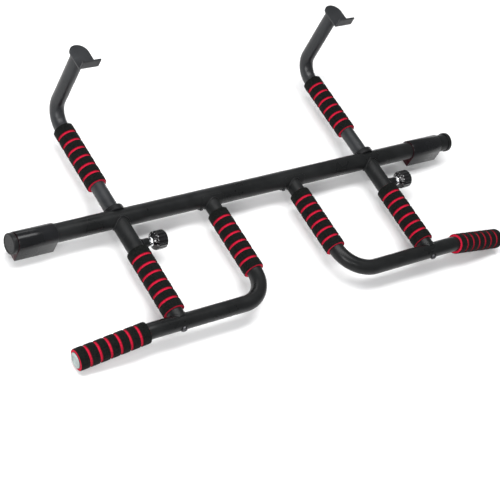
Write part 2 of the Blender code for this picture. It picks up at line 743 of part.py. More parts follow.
def build_front_bolt(mats, side, sign):
    """Bolt, shaped washer and threaded insert that hold the front tube on the sleeve."""
    x = sign * ARM_X
    face = FRONT_Y - HANDLE_RADIUS - GAP
    washer_out = face - WASHER_THICKNESS
    mesh = hollow_cylinder(
        side + "_front_washer",
        (x, face + HANDLE_RADIUS * 0.3, 0),
        (x, washer_out, 0),
        WASHER_RADIUS,
        BOLT_RADIUS + GAP,
    )
    washer = add_object(side + "_front_washer", mesh, mats["dark_steel"])
    mesh = cylinder(
        side + "_washer_seat",
        (x - CUT_REACH, FRONT_Y, 0),
        (x + CUT_REACH, FRONT_Y, 0),
        HANDLE_RADIUS + GAP,
        FINE,
    )
    shape(washer, cutter(side + "_washer_seat", mesh), "DIFFERENCE")

    head_in = washer_out - GAP
    socket = BOLT_SOCKET_RADIUS
    profile = [
        (BOLT_LENGTH, 0.0),
        (BOLT_LENGTH, BOLT_RADIUS - EDGE),
        (BOLT_LENGTH - EDGE, BOLT_RADIUS),
        (0.0, BOLT_RADIUS),
        (0.0, BOLT_HEAD_RADIUS),
        (-BOLT_HEAD_HEIGHT * 0.45, BOLT_HEAD_RADIUS - 0.0004),
        (-BOLT_HEAD_HEIGHT * 0.85, BOLT_HEAD_RADIUS - 0.0022),
        (-BOLT_HEAD_HEIGHT, socket + EDGE),
        (-BOLT_HEAD_HEIGHT, socket),
        (-BOLT_HEAD_HEIGHT * 0.35, socket),
        (-BOLT_HEAD_HEIGHT * 0.35, 0.0),
    ]
    mesh = revolve(side + "_front_bolt", profile, (x, head_in, 0), (0, 1, 0), 16)
    add_object(side + "_front_bolt", mesh, mats["dark_steel"])

    insert_front = FRONT_Y + HANDLE_RADIUS + GAP
    mesh = hollow_cylinder(
        side + "_sleeve_insert",
        (x, insert_front, 0),
        (x, insert_front + INSERT_LENGTH, 0),
        SLEEVE_RADIUS - SLEEVE_WALL - GAP,
        BOLT_RADIUS + GAP,
    )
    add_object(side + "_sleeve_insert", mesh, mats["dark_steel"])


def build_saddle(mats, side, sign):
    """Curved plate between the leg and the crossbar, with its two screws and their rivet nuts."""
    x = sign * LEG_X
    steps = 18
    outline = []
    rows = ((SADDLE_INNER, range(steps + 1)), (SADDLE_OUTER, range(steps, -1, -1)))
    for radius, order in rows:
        for step in order:
            angle = SADDLE_FROM + (SADDLE_TO - SADDLE_FROM) * step / steps
            point = (x - SADDLE_HALF_WIDTH, radius * math.cos(angle), radius * math.sin(angle))
            outline.append(point)
    bm = bmesh.new()
    count = len(outline)
    low = [bm.verts.new(point) for point in outline]
    high = [bm.verts.new((px + 2.0 * SADDLE_HALF_WIDTH, py, pz)) for px, py, pz in outline]
    for index in range(steps):
        mirror = count - 1 - index
        for row in (low, high):
            bm.faces.new((row[index], row[index + 1], row[mirror - 1], row[mirror]))
    for index in range(count):
        after = (index + 1) % count
        bm.faces.new((low[index], low[after], high[after], high[index]))
    saddle = add_object(side + "_leg_saddle", finish_mesh(side + "_leg_saddle", bm), mats["paint"])

    way = screw_direction()
    for label, offset in (("a", -SADDLE_SCREW_X), ("b", SADDLE_SCREW_X)):
        root = Vector((x + offset, 0, 0))
        mesh = cylinder(
            side + "_saddle_bore_" + label,
            root + way * BAR_RADIUS * 0.5,
            root + way * CUT_REACH,
            SADDLE_SCREW_RADIUS + GAP,
            SMALL,
        )
        shape(saddle, cutter(side + "_saddle_bore_" + label, mesh), "DIFFERENCE")
        seat = SADDLE_OUTER + GAP
        profile = [
            (seat - SADDLE_SCREW_LENGTH, 0.0),
            (seat - SADDLE_SCREW_LENGTH, SADDLE_SCREW_RADIUS),
            (seat, SADDLE_SCREW_RADIUS),
            (seat, SADDLE_HEAD_RADIUS),
            (seat + SADDLE_HEAD_HEIGHT * 0.5, SADDLE_HEAD_RADIUS - 0.0004),
            (seat + SADDLE_HEAD_HEIGHT, SADDLE_HEAD_RADIUS - 0.0016),
            (seat + SADDLE_HEAD_HEIGHT, 0.0),
        ]
        name = side + "_saddle_screw_" + label
        add_object(name, revolve(name, profile, root, way, SMALL), mats["dark_steel"])
        inside = BAR_RADIUS - BAR_WALL
        profile = [
            (inside + BAR_WALL * 0.5, SADDLE_SCREW_RADIUS + GAP),
            (inside + BAR_WALL * 0.5, RIVET_NUT_RADIUS),
            (inside - 0.0010, RIVET_NUT_RADIUS),
            (inside - 0.0010, RIVET_NUT_FLANGE),
            (inside - RIVET_NUT_LENGTH * 0.5, RIVET_NUT_RADIUS),
            (inside - RIVET_NUT_LENGTH, RIVET_NUT_RADIUS),
            (inside - RIVET_NUT_LENGTH, SADDLE_SCREW_RADIUS + GAP),
        ]
        name = side + "_rivet_nut_" + label
        add_object(name, revolve(name, profile, root, way, SMALL), mats["bright"])


def main():
    for thing in list(bpy.data.objects):
        bpy.data.objects.remove(thing, do_unlink=True)
    mats = make_materials()
    build_crossbar(mats)
    build_end_caps(mats)
    build_door_pad(mats, "left", LEFT_PAD_INSET - BAR_LENGTH / 2.0)
    build_door_pad(mats, "right", BAR_LENGTH / 2.0 - RIGHT_PAD_INSET - PAD_LENGTH)
    for side, sign in SIDES:
        build_sleeve(mats, side, sign)
        build_guide_collar(mats, side, sign)
        build_hook_arm(mats, side, sign)
        build_lock(mats, side, sign)
        build_handle(mats, side, sign)
        build_front_bolt(mats, side, sign)
        build_saddle(mats, side, sign)


main()
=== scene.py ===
"""Doorway pull up bar: the finished look of every piece, built round its solid frame.

Metres, +Z up. X runs along the crossbar, -Y points at the user and +Y through the doorway.
"""

import math

import bmesh
import bpy
from bpy.props import FloatProperty, FloatVectorProperty, IntProperty, PointerProperty
from mathutils import Matrix, Vector


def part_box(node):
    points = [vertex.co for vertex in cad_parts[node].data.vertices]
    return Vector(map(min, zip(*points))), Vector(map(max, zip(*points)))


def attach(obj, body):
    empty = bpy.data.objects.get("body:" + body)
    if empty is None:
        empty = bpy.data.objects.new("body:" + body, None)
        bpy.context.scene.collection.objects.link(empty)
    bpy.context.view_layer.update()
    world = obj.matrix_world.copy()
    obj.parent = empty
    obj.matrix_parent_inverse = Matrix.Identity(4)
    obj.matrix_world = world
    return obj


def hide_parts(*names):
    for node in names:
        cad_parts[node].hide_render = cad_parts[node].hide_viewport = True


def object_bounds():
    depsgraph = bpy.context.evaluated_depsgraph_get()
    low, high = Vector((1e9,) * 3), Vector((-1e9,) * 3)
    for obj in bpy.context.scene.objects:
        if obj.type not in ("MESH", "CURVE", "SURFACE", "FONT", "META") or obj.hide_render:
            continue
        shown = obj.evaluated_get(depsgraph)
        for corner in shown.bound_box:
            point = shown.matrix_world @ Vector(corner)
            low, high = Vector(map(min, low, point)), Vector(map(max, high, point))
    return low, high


bl_info = {
    "name": "Pull Up Bar",
    "version": (1, 0, 0),
    "blender": (4, 5, 0),
    "location": "View3D > Sidebar > Pull Up Bar",
    "description": "Builds a doorway pull up bar with ribbed foam grips and sliding hook arms",
    "category": "Add Mesh",
}

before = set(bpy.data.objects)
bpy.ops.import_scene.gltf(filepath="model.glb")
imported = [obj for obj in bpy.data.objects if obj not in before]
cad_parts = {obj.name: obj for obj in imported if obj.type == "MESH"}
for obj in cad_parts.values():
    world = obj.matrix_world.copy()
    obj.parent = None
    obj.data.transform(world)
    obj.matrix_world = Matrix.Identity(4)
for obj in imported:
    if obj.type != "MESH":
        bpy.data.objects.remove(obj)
CAD_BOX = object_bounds()
SIDES = (("left", -1.0), ("right", 1.0))

# Sizes in metres that the boxes of the frame's pieces don't give.
HANDLE_RADIUS = 0.015
GRIP_LENGTH = 0.1375
FOAM_OVER_TIP = 0.0006
PLUG_RIM = 0.0020
PLUG_INSET = 0.001
PLATE_THICKNESS = 0.003
SADDLE_THICKNESS = 0.0014
SADDLE_CORNER = 0.004
ARM_CLEARANCE = 0.0004
PAD_CLEARANCE = 0.0003
FLOOR_CLEARANCE = 0.0005
FLOOR_RADIUS = 1.75

# Angles: where the saddle plate starts and ends round the crossbar, and how its screws tilt.
SADDLE_START = math.radians(112.0)
SADDLE_END = math.radians(248.0)
SCREW_TILT = math.radians(30.0)

# Counts of faces, and the step between the seeds of the grips.
GRIP_ROWS_PER_RIB = 36.0
GRIP_AROUND = 96
BEAD_POINTS = 72
PLATE_COLUMNS = 16
SADDLE_COLUMNS = 12
SADDLE_ROWS = 40
SCREW_AROUND = 24
SEED_STEP = 3.7

# The foam: how much of a groove's wall is red, how deep its cut ends count, and its unevenness.
CORE_ON_WALL = 0.75
CUT_END_DEPTH = 0.0002
UNEVEN_SCALE = 45.0

# The knob: where a flute starts and is full across it and out from the axis, and how it fades.
FLUTE_ACROSS = (0.12, 0.62)
FLUTE_OUTWARD = (0.72, 0.97)
FLUTE_FADE_IN = 0.002
FLUTE_FADE_OUT = 0.0015

# The world: its light, and what is added where the camera sees it directly.
WORLD_LIGHT = 0.32
WORLD_BACKDROP = 0.70

# The camera's shift, and how far its axis passes from the middle, sideways and upwards.
CAMERA_SHIFT = (-0.0390, -0.0445)
CAMERA_ASIDE = 0.03932
CAMERA_DOWN = 0.07644

# The kind of socket for each type of default value.
SOCKET_KINDS = {
    int: "NodeSocketInt",
    float: "NodeSocketFloat",
    tuple: "NodeSocketVector",
    type(None): "NodeSocketObject",
}


# ---------------------------------------------------------------- settings
def length(name, description, default):
    """A size in metres that a user may change."""
    return FloatProperty(
        name=name, description=description, default=default, min=0.0, precision=5, unit="LENGTH"
    )


def colour(name, description, default):
    """A colour that a user may change."""
    return FloatVectorProperty(
        name=name, description=description, default=default, size=3, min=0.0, max=1.0, subtype="COLOR"
    )


class TubeSettings(bpy.types.PropertyGroup):
    """Bends and beads of the tubes."""

    arm_bend: length("Arm bend", "Centre-line radius of the hook arm's bend", 0.038)
    leg_bend: length("Leg bend", "Centre-line radius of the handle's inner bend", 0.060)
    outer_bend: length("Outer bend", "Centre-line radius where the outer handle drops", 0.090)
    outer_bend_x: length("Outer bend place", "Distance of that bend from the middle", 0.368)
    outer_drop: FloatProperty(
        name="Outer drop",
        description="Angle by which the outer handle drops",
        default=math.radians(11.3),
        subtype="ANGLE",
    )
    around: IntProperty(name="Around", description="Faces round a tube", default=64, min=12)
    bead: length("Weld bead", "Radius of the weld beads", 0.0021)


class GripSettings(bpy.types.PropertyGroup):
    """Ribs of the foam grips."""

    ribs: IntProperty(name="Ribs", description="Ribs along a grip", default=7, min=2)
    groove: length("Groove floor", "Half the width of a groove's floor", 0.0019)
    wall: length("Groove wall", "Width of a groove's sloping wall", 0.0007)
    depth: length("Groove depth", "Depth of the grooves", 0.0026)
    crown: length("Rib crown", "How much a rib bulges", 0.0003)
    edge: length("Edge round", "Rounding at the two ends", 0.0014)
    fill: FloatProperty(name="Fill", description="How tight the foam is", default=1.0, min=0.0, max=1.0)


class KnobSettings(bpy.types.PropertyGroup):
    """Flutes of the lock knobs."""

    flutes: IntProperty(name="Flutes", description="Flutes round a knob", default=16, min=6)
    depth: length("Flute depth", "Depth of the flutes", 0.0019)
    thread_pitch: length("Thread pitch", "Pitch of the lock screw", 0.0015)


class FinishSettings(bpy.types.PropertyGroup):
    """Colours of the finishes."""

    paint: colour("Frame paint", "Powder coat of the fixed tubes", (0.0088, 0.0093, 0.0095))
    # Lighter than the frame paint: painted light, standing for the light that falls on the hook arms.
    arm_paint: colour("Arm paint", "Powder coat of the hook arms", (0.0150, 0.0160, 0.0176))
    foam: colour("Foam skin", "Skin of the foam grips", (0.0034, 0.0037, 0.0034))
    core: colour("Foam core", "Core that shows in the grooves", (0.43, 0.0075, 0.030))
    pad: colour("Pad", "Door pads", (0.0080, 0.0084, 0.0092))
    pad_core: colour("Pad core", "Core at the ends of the door pads", (0.022, 0.002, 0.004))
    knob: colour("Knob", "Lock knobs", (0.0040, 0.0040, 0.0044))
    nylon: colour("Nylon", "Caps and collars", (0.0080, 0.0082, 0.0086))
    bright: colour("Bright steel", "Plated rings and screws", (0.80, 0.81, 0.82))
    dark: colour("Dark steel", "Blackened bolts and screws", (0.060, 0.060, 0.064))
    tip: colour("Tip plug", "Plugs in the handles' ends", (0.27, 0.31, 0.30))


class StageSettings(bpy.types.PropertyGroup):
    """Camera, floor and lights."""

    azimuth: FloatProperty(
        name="Azimuth", description="Camera's turn", default=math.radians(-57.165), subtype="ANGLE"
    )
    elevation: FloatProperty(
        name="Elevation", description="Camera's height", default=math.radians(43.899), subtype="ANGLE"
    )
    roll: FloatProperty(
        name="Roll", description="Camera's tilt", default=math.radians(32.737), subtype="ANGLE"
    )
    distance: length("Distance", "Camera's distance", 3.217)
    lens: FloatProperty(name="Lens", description="Focal length in millimetres", default=120.92, min=1.0)
    floor: colour("Floor", "Floor's colour", (0.92, 0.92, 0.92))


class PullUpBarSettings(bpy.types.PropertyGroup):
    """Everything a user may change."""

    tubes: PointerProperty(type=TubeSettings)
    grips: PointerProperty(type=GripSettings)
    knobs: PointerProperty(type=KnobSettings)
    finish: PointerProperty(type=FinishSettings)
    stage: PointerProperty(type=StageSettings)


def settings():
    """The scene's settings for the bar."""
    return bpy.context.scene.pull_up_bar


# ---------------------------------------------------------------- node helpers
class Wiring:
    """Adds nodes to a tree and links them."""

    def __init__(self, tree):
        self.tree = tree
        self.column = 0

    def node(self, kind, **values):
        """A new node. Settings go on the node, and inputs named with in_ take a value or a socket."""
        made = self.tree.nodes.new(kind)
        made.location = (self.column * 180, 0)
        self.column += 1
        for key, value in values.items():
            if not key.startswith("in_"):
                setattr(made, key, value)
        for key, value in values.items():
            if key.startswith("in_"):
                name = key[3:].replace("_", " ")
                socket = made.inputs[int(name)] if name.isdigit() else self.find(made, name)
                self.put(value, socket)
        return made

    @staticmethod
    def find(node, name):
        """The node's available input of that name, whatever its case."""
        for socket in node.inputs:
            if socket.name.lower() == name.lower() and socket.enabled:
                return socket
        raise KeyError(node.bl_idname + " has no input " + name)

    def put(self, value, socket):
        """Links a socket, or sets a plain value."""
        if isinstance(value, bpy.types.NodeSocket):
            self.tree.links.new(value, socket)
        else:
            socket.default_value = value

    def maths(self, operation, *values):
        """A Math node's result."""
        made = self.node("ShaderNodeMath", operation=operation)
        for index, value in enumerate(values):
            self.put(value, made.inputs[index])
        return made.outputs[0]

    def ramp(self, value, low, high, start=0.0, end=1.0):
        """A smooth step of a value between two limits."""
        made = self.node("ShaderNodeMapRange", interpolation_type="SMOOTHSTEP")
        for socket, item in zip(made.inputs[:5], (value, low, high, start, end)):
            self.put(item, socket)
        return made.outputs[0]

    def xyz(self, vector):
        """The three parts of a vector."""
        return self.node("ShaderNodeSeparateXYZ", in_0=vector).outputs


def socket(tree, name, kind, direction="INPUT", default=None):
    """A named input or output of a node group."""
    made = tree.interface.new_socket(name=name, in_out=direction, socket_type=kind)
    if default is not None:
        made.default_value = default
    return made


def geometry_tree(name, inputs, takes_geometry=True):
    """An empty Geometry Nodes tree with named inputs: (tree, wiring, input node)."""
    tree = bpy.data.node_groups.new(name, "GeometryNodeTree")
    tree.is_modifier = True
    if takes_geometry:
        socket(tree, "Geometry", "NodeSocketGeometry")
    for label, default in inputs.items():
        socket(tree, label, SOCKET_KINDS[type(default)], default=default)
    socket(tree, "Geometry", "NodeSocketGeometry", "OUTPUT")
    wiring = Wiring(tree)
    return tree, wiring, tree.nodes.new("NodeGroupInput")


def close_tree(tree, wiring, geometry, material):
    """Ends a tree: real geometry, smooth, with its material."""
    real = wiring.node("GeometryNodeRealizeInstances", in_Geometry=geometry)
    smooth = wiring.node("GeometryNodeSetShadeSmooth", in_0=real.outputs[0])
    finish = wiring.node("GeometryNodeSetMaterial", in_Geometry=smooth.outputs[0], in_Material=material)
    out = tree.nodes.new("NodeGroupOutput")
    tree.links.new(finish.outputs[0], out.inputs[0])


def linked(name, data):
    """A new object in the scene."""
    thing = bpy.data.objects.new(name, data)
    bpy.context.scene.collection.objects.link(thing)
    return thing


def set_down(thing, spot, side, top, back):
    """Puts an object at a spot, with its X, Y and Z along three directions."""
    turn = Matrix((side, top, back)).transposed().to_4x4()
    thing.matrix_world = Matrix.Translation(spot) @ turn


def run_tree(tree, mesh, values):
    """The plain mesh that a tree makes from a mesh and its named inputs."""
    holder = linked("holder", mesh)
    modifier = holder.modifiers.new(tree.name, "NODES")
    modifier.node_group = tree
    for item in tree.interface.items_tree:
        if item.item_type == "SOCKET" and item.in_out == "INPUT" and item.name in values:
            modifier[item.identifier] = values[item.name]
    made = plain_mesh(holder)
    bpy.data.objects.remove(holder)
    return made


def plain_mesh(thing):
    """A new mesh of an object as its modifiers leave it."""
    bpy.context.view_layer.update()
    graph = bpy.context.evaluated_depsgraph_get()
    return bpy.data.meshes.new_from_object(thing.evaluated_get(graph), depsgraph=graph)


# ---------------------------------------------------------------- mesh helpers
def centre(node):
    """Middle of a node's box."""
    low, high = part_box(node)
    return (low + high) / 2.0


def place(name, mesh, body, nodes, slot, sharp=35.0):
    """Adds a finished piece that stands for its nodes and moves with its body."""
    mesh.name = name
    if not mesh.materials:
        mesh.materials.append(FINISHES[slot]())
    mesh.shade_smooth()
    mesh.set_sharp_from_angle(angle=math.radians(sharp))
    thing = linked(name, mesh)
    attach(thing, body)
    if nodes:
        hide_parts(*nodes)
    return thing


def circle(count):
    """Cosine and sine at equal steps round a circle."""
    angles = [2.0 * math.pi * step / count for step in range(count)]
    return [(math.cos(angle), math.sin(angle)) for angle in angles]


def bridge(bm, one, two):
    """Faces between two closed rings, either of which may be a single point."""
    count = max(len(one), len(two))
    if count == 1:
        return
    for step in range(count):
        after = (step + 1) % count
        corners = (one[step % len(one)], two[step % len(two)], two[after % len(two)], one[after % len(one)])
        bm.faces.new(list(dict.fromkeys(corners)))


def sheet(rows):
    """Open surface through rows of points."""
    bm = bmesh.new()
    grid = [[bm.verts.new(point) for point in row] for row in rows]
    for one, two in zip(grid, grid[1:]):
        for corners in zip(one, one[1:], two[1:], two):
            bm.faces.new(corners)
    return outward(bm)


def turned(profile, origin, axis, around=64):
    """Mesh turned from (distance, radius) points round an axis; a zero radius closes it."""
    bm = bmesh.new()
    axis = Vector(axis).normalized()
    helper = Vector((0, 0, 1)) if abs(axis.z) < 0.9 else Vector((0, 1, 0))
    side = helper.cross(axis).normalized()
    up = axis.cross(side)
    rings = []
    for distance, radius in profile:
        middle = Vector(origin) + axis * distance
        turns = circle(around) if radius else [(0.0, 0.0)]
        rings.append([bm.verts.new(middle + (side * x + up * y) * radius) for x, y in turns])
    for one, two in zip(rings, rings[1:] + rings[:1]):
        bridge(bm, one, two)
    return outward(bm)


def outward(bm):
    """Mesh of a bmesh whose doubles are merged and whose faces point out."""
    bmesh.ops.remove_doubles(bm, verts=bm.verts, dist=1e-6)
    bmesh.ops.recalc_face_normals(bm, faces=bm.faces)
    mesh = bpy.data.meshes.new("piece")
    bm.to_mesh(mesh)
    bm.free()
    return mesh


def rounded(corner, start, end, radius, steps=5):
    """Points that round a profile's corner between two directions."""
    corner, start, end = Vector(corner), Vector(start).normalized(), Vector(end).normalized()
    middle = corner + (start + end) * radius
    points = []
    for step in range(steps + 1):
        angle = math.pi / 2.0 * step / steps
        points.append(tuple(middle - end * radius * math.cos(angle) - start * radius * math.sin(angle)))
    return points


def joined(meshes):
    """One mesh from several, with their materials kept."""
    bm = bmesh.new()
    materials = []
    for mesh in meshes:
        for material in mesh.materials:
            if material not in materials:
                materials.append(material)
    result = bpy.data.meshes.new("piece")
    for mesh in meshes:
        before = len(bm.faces)
        bm.from_mesh(mesh)
        bm.faces.ensure_lookup_table()
        for face in bm.faces[before:]:
            if len(mesh.materials):
                face.material_index = materials.index(mesh.materials[face.material_index])
    bm.to_mesh(result)
    bm.free()
    for material in materials:
        result.materials.append(material)
    return result


def line_mesh(points, closed=False, **attributes):
    """A chain of edges with a value at each point."""
    count = len(points)
    edges = [(i, i + 1) for i in range(count - 1)]
    if closed:
        edges.append((count - 1, 0))
    mesh = bpy.data.meshes.new("line")
    mesh.from_pydata([tuple(point) for point in points], edges, [])
    for name, values in attributes.items():
        mesh.attributes.new(name, "FLOAT", "POINT").data.foreach_set("value", values)
    return mesh


def finished_sheet(mesh, thickness, edge):
    """A surface given its thickness and broken edges."""
    holder = linked("holder", mesh)
    solid = holder.modifiers.new("thickness", "SOLIDIFY")
    solid.thickness = thickness
    solid.offset = 0.0
    bevel = holder.modifiers.new("edge", "BEVEL")
    bevel.width = edge
    bevel.segments = 3
    bevel.limit_method = "ANGLE"
    bevel.angle_limit = math.radians(50.0)
    made = plain_mesh(holder)
    bpy.data.objects.remove(holder)
    return made


# ---------------------------------------------------------------- geometry trees
def bent_tube_tree(material):
    """Round tube along a line whose corners are rounded by the value called bend."""
    tree, wiring, given = geometry_tree(
        "Bent tube", {"Radius": HANDLE_RADIUS, "Around": 64, "Bend steps": 24}
    )
    line = wiring.node("GeometryNodeMeshToCurve", in_Mesh=given.outputs["Geometry"])
    bend = wiring.node("GeometryNodeInputNamedAttribute", data_type="FLOAT", in_Name="bend")
    fillet = wiring.node("GeometryNodeFilletCurve", mode="POLY", in_Curve=line.outputs[0])
    wiring.put(given.outputs["Bend steps"], fillet.inputs["Count"])
    wiring.put(bend.outputs[0], fillet.inputs["Radius"])
    circle = wiring.node("GeometryNodeCurvePrimitiveCircle", mode="RADIUS")
    wiring.put(given.outputs["Around"], circle.inputs["Resolution"])
    wiring.put(given.outputs["Radius"], circle.inputs["Radius"])
    sweep = wiring.node("GeometryNodeCurveToMesh", in_Curve=fillet.outputs[0])
    wiring.put(circle.outputs[0], sweep.inputs["Profile Curve"])
    sweep.inputs["Fill Caps"].default_value = True
    close_tree(tree, wiring, sweep.outputs[0], material)
    return tree


def weld_bead_tree(material):
    """Rippled bead along closed lines."""
    tree, wiring, given = geometry_tree(
        "Weld bead", {"Radius": 0.0021, "Ripple": 0.0012, "Ripple scale": 420.0}
    )
    line = wiring.node("GeometryNodeMeshToCurve", in_Mesh=given.outputs["Geometry"])
    circle = wiring.node("GeometryNodeCurvePrimitiveCircle", mode="RADIUS")
    circle.inputs["Resolution"].default_value = 10
    wiring.put(given.outputs["Radius"], circle.inputs["Radius"])
    sweep = wiring.node("GeometryNodeCurveToMesh", in_Curve=line.outputs[0])
    wiring.put(circle.outputs[0], sweep.inputs["Profile Curve"])
    noise = wiring.node("ShaderNodeTexNoise", noise_dimensions="3D")
    wiring.put(given.outputs["Ripple scale"], noise.inputs["Scale"])
    noise.inputs["Detail"].default_value = 1.0
    lift = wiring.maths("MULTIPLY", wiring.maths("SUBTRACT", noise.outputs[0], 0.5), given.outputs["Ripple"])
    normal = wiring.node("GeometryNodeInputNormal")
    push = wiring.node("ShaderNodeVectorMath", operation="SCALE", in_0=normal.outputs[0])
    wiring.put(lift, push.inputs["Scale"])
    moved = wiring.node("GeometryNodeSetPosition", in_Geometry=sweep.outputs[0], in_Offset=push.outputs[0])
    close_tree(tree, wiring, moved.outputs[0], material)
    return tree


def ribbed_grip_tree(material):
    """Foam grip along +Z, with grooves between its ribs and a mask called groove for the core."""
    tree, wiring, given = geometry_tree(
        "Ribbed grip",
        {
            "Length": GRIP_LENGTH,
            "Radius": 0.0202,
            "Ribs": 7,
            "Floor": 0.0019,
            "Wall": 0.0007,
            "Depth": 0.0026,
            "Crown": 0.0003,
            "Edge": 0.0014,
            "Unevenness": 0.0004,
            "Seed": 1.0,
        },
        takes_geometry=False,
    )
    value = given.outputs
    rows = wiring.maths("MULTIPLY", value["Ribs"], GRIP_ROWS_PER_RIB)
    body = wiring.node("GeometryNodeMeshCylinder", fill_type="NGON")
    body.inputs["Vertices"].default_value = GRIP_AROUND
    body.inputs["Radius"].default_value = 1.0
    wiring.put(rows, body.inputs["Side Segments"])
    wiring.put(value["Length"], body.inputs["Depth"])
    place_now = wiring.xyz(wiring.node("GeometryNodeInputPosition").outputs[0])
    height = wiring.maths("ADD", place_now[2], wiring.maths("MULTIPLY", value["Length"], 0.5))
    pitch = wiring.maths("DIVIDE", value["Length"], value["Ribs"])
    turn = wiring.maths("DIVIDE", height, pitch)
    nearest = wiring.maths("ROUND", turn)
    inside = wiring.maths("MULTIPLY", wiring.maths("GREATER_THAN", nearest, 0.5), wiring.maths(
        "LESS_THAN", nearest, wiring.maths("SUBTRACT", value["Ribs"], 0.5)))
    off = wiring.maths("MULTIPLY", wiring.maths("ABSOLUTE", wiring.maths("SUBTRACT", turn, nearest)), pitch)
    outside = wiring.maths("SUBTRACT", 1.0, inside)
    away = wiring.maths("ADD", off, outside)
    wall_end = wiring.maths("ADD", value["Floor"], value["Wall"])
    wall = wiring.ramp(away, value["Floor"], wall_end)
    across = wiring.maths("MULTIPLY", wiring.maths("SUBTRACT", wiring.maths("FRACT", turn), 0.5), 2.0)
    bulge = wiring.maths("MULTIPLY", wiring.maths("MULTIPLY", across, across), value["Crown"])
    to_end = wiring.maths("MINIMUM", height, wiring.maths("SUBTRACT", value["Length"], height))
    short = wiring.node("ShaderNodeClamp", in_Value=wiring.maths("DIVIDE", to_end, value["Edge"]))
    left = wiring.maths("SUBTRACT", 1.0, short.outputs[0])
    arc = wiring.maths("SQRT", wiring.maths("SUBTRACT", 1.0, wiring.maths("MULTIPLY", left, left)))
    end_loss = wiring.maths("MULTIPLY", wiring.maths("SUBTRACT", 1.0, arc), value["Edge"])
    noise = wiring.node("ShaderNodeTexNoise", noise_dimensions="4D")
    noise.inputs["Scale"].default_value = UNEVEN_SCALE
    noise.inputs["Detail"].default_value = 2.0
    wiring.put(value["Seed"], noise.inputs["W"])
    stretch = wiring.node("ShaderNodeCombineXYZ")
    for index, part in enumerate((place_now[0], place_now[1])):
        wiring.put(wiring.maths("MULTIPLY", part, value["Radius"]), stretch.inputs[index])
    wiring.put(height, stretch.inputs[2])
    wiring.put(stretch.outputs[0], noise.inputs["Vector"])
    rough = wiring.maths("MULTIPLY", wiring.maths("SUBTRACT", noise.outputs[0], 0.5), value["Unevenness"])
    cut = wiring.maths("MULTIPLY", wiring.maths("SUBTRACT", 1.0, wall), value["Depth"])
    size = value["Radius"]
    for loss in (cut, bulge, end_loss):
        size = wiring.maths("SUBTRACT", size, loss)
    size = wiring.maths("ADD", size, rough)
    spot = wiring.node("ShaderNodeCombineXYZ")
    wiring.put(wiring.maths("MULTIPLY", place_now[0], size), spot.inputs[0])
    wiring.put(wiring.maths("MULTIPLY", place_now[1], size), spot.inputs[1])
    wiring.put(height, spot.inputs[2])
    half_wall = wiring.maths("MULTIPLY", value["Wall"], CORE_ON_WALL)
    red_end = wiring.maths("ADD", value["Floor"], half_wall)
    core = wiring.maths("SUBTRACT", 1.0, wiring.ramp(away, value["Floor"], red_end))
    face = wiring.maths("LESS_THAN", to_end, CUT_END_DEPTH)
    mask = wiring.maths("MAXIMUM", core, face)
    marked = wiring.node(
        "GeometryNodeStoreNamedAttribute", data_type="FLOAT", domain="POINT", in_Geometry=body.outputs[0]
    )
    marked.inputs["Name"].default_value = "groove"
    wiring.put(mask, wiring.find(marked, "Value"))
    moved = wiring.node("GeometryNodeSetPosition", in_Geometry=marked.outputs[0], in_Position=spot.outputs[0])
    close_tree(tree, wiring, moved.outputs[0], material)
    return tree


def flute_tree(material):
    """Cuts flutes along +X in a turned body, fading towards both ends."""
    tree, wiring, given = geometry_tree(
        "Knob flutes",
        {
            "Flutes": 16,
            "Depth": 0.0019,
            "Start": 0.0,
            "End": 1.0,
            "Full radius": 0.0176,
            "Axis": (0.0, 0.0, 0.0),
        },
    )
    value = given.outputs
    here = wiring.node("GeometryNodeInputPosition").outputs[0]
    apart = wiring.node("ShaderNodeVectorMath", operation="SUBTRACT", in_0=here, in_1=value["Axis"])
    x, y, z = wiring.xyz(apart.outputs[0])
    reach = wiring.maths("SQRT", wiring.maths(
        "ADD", wiring.maths("MULTIPLY", y, y), wiring.maths("MULTIPLY", z, z)))
    angle = wiring.maths("ARCTAN2", z, y)
    half = wiring.maths("MULTIPLY", value["Flutes"], 0.5)
    wave = wiring.maths("ABSOLUTE", wiring.maths("SINE", wiring.maths("MULTIPLY", angle, half)))
    hollow = wiring.maths("SUBTRACT", 1.0, wiring.ramp(wave, *FLUTE_ACROSS))
    fade_in = wiring.ramp(x, value["Start"], wiring.maths("ADD", value["Start"], FLUTE_FADE_IN))
    fade_out = wiring.maths("SUBTRACT", 1.0, wiring.ramp(
        x, wiring.maths("SUBTRACT", value["End"], FLUTE_FADE_OUT), value["End"]))
    on_rim = wiring.ramp(wiring.maths("DIVIDE", reach, value["Full radius"]), *FLUTE_OUTWARD)
    amount = wiring.maths("MULTIPLY", wiring.maths("MULTIPLY", fade_in, fade_out), on_rim)
    depth = wiring.maths("MULTIPLY", wiring.maths("MULTIPLY", hollow, value["Depth"]), amount)
    scale = wiring.maths("DIVIDE", wiring.maths("SUBTRACT", reach, depth), wiring.maths(
        "MAXIMUM", reach, 0.0001))
    spot = wiring.node("ShaderNodeCombineXYZ", in_0=x)
    wiring.put(wiring.maths("MULTIPLY", y, scale), spot.inputs[1])
    wiring.put(wiring.maths("MULTIPLY", z, scale), spot.inputs[2])
    back = wiring.node("ShaderNodeVectorMath", operation="ADD", in_0=spot.outputs[0], in_1=value["Axis"])
    moved = wiring.node(
        "GeometryNodeSetPosition", in_Geometry=value["Geometry"], in_Position=back.outputs[0]
    )
    close_tree(tree, wiring, moved.outputs[0], material)
    return tree


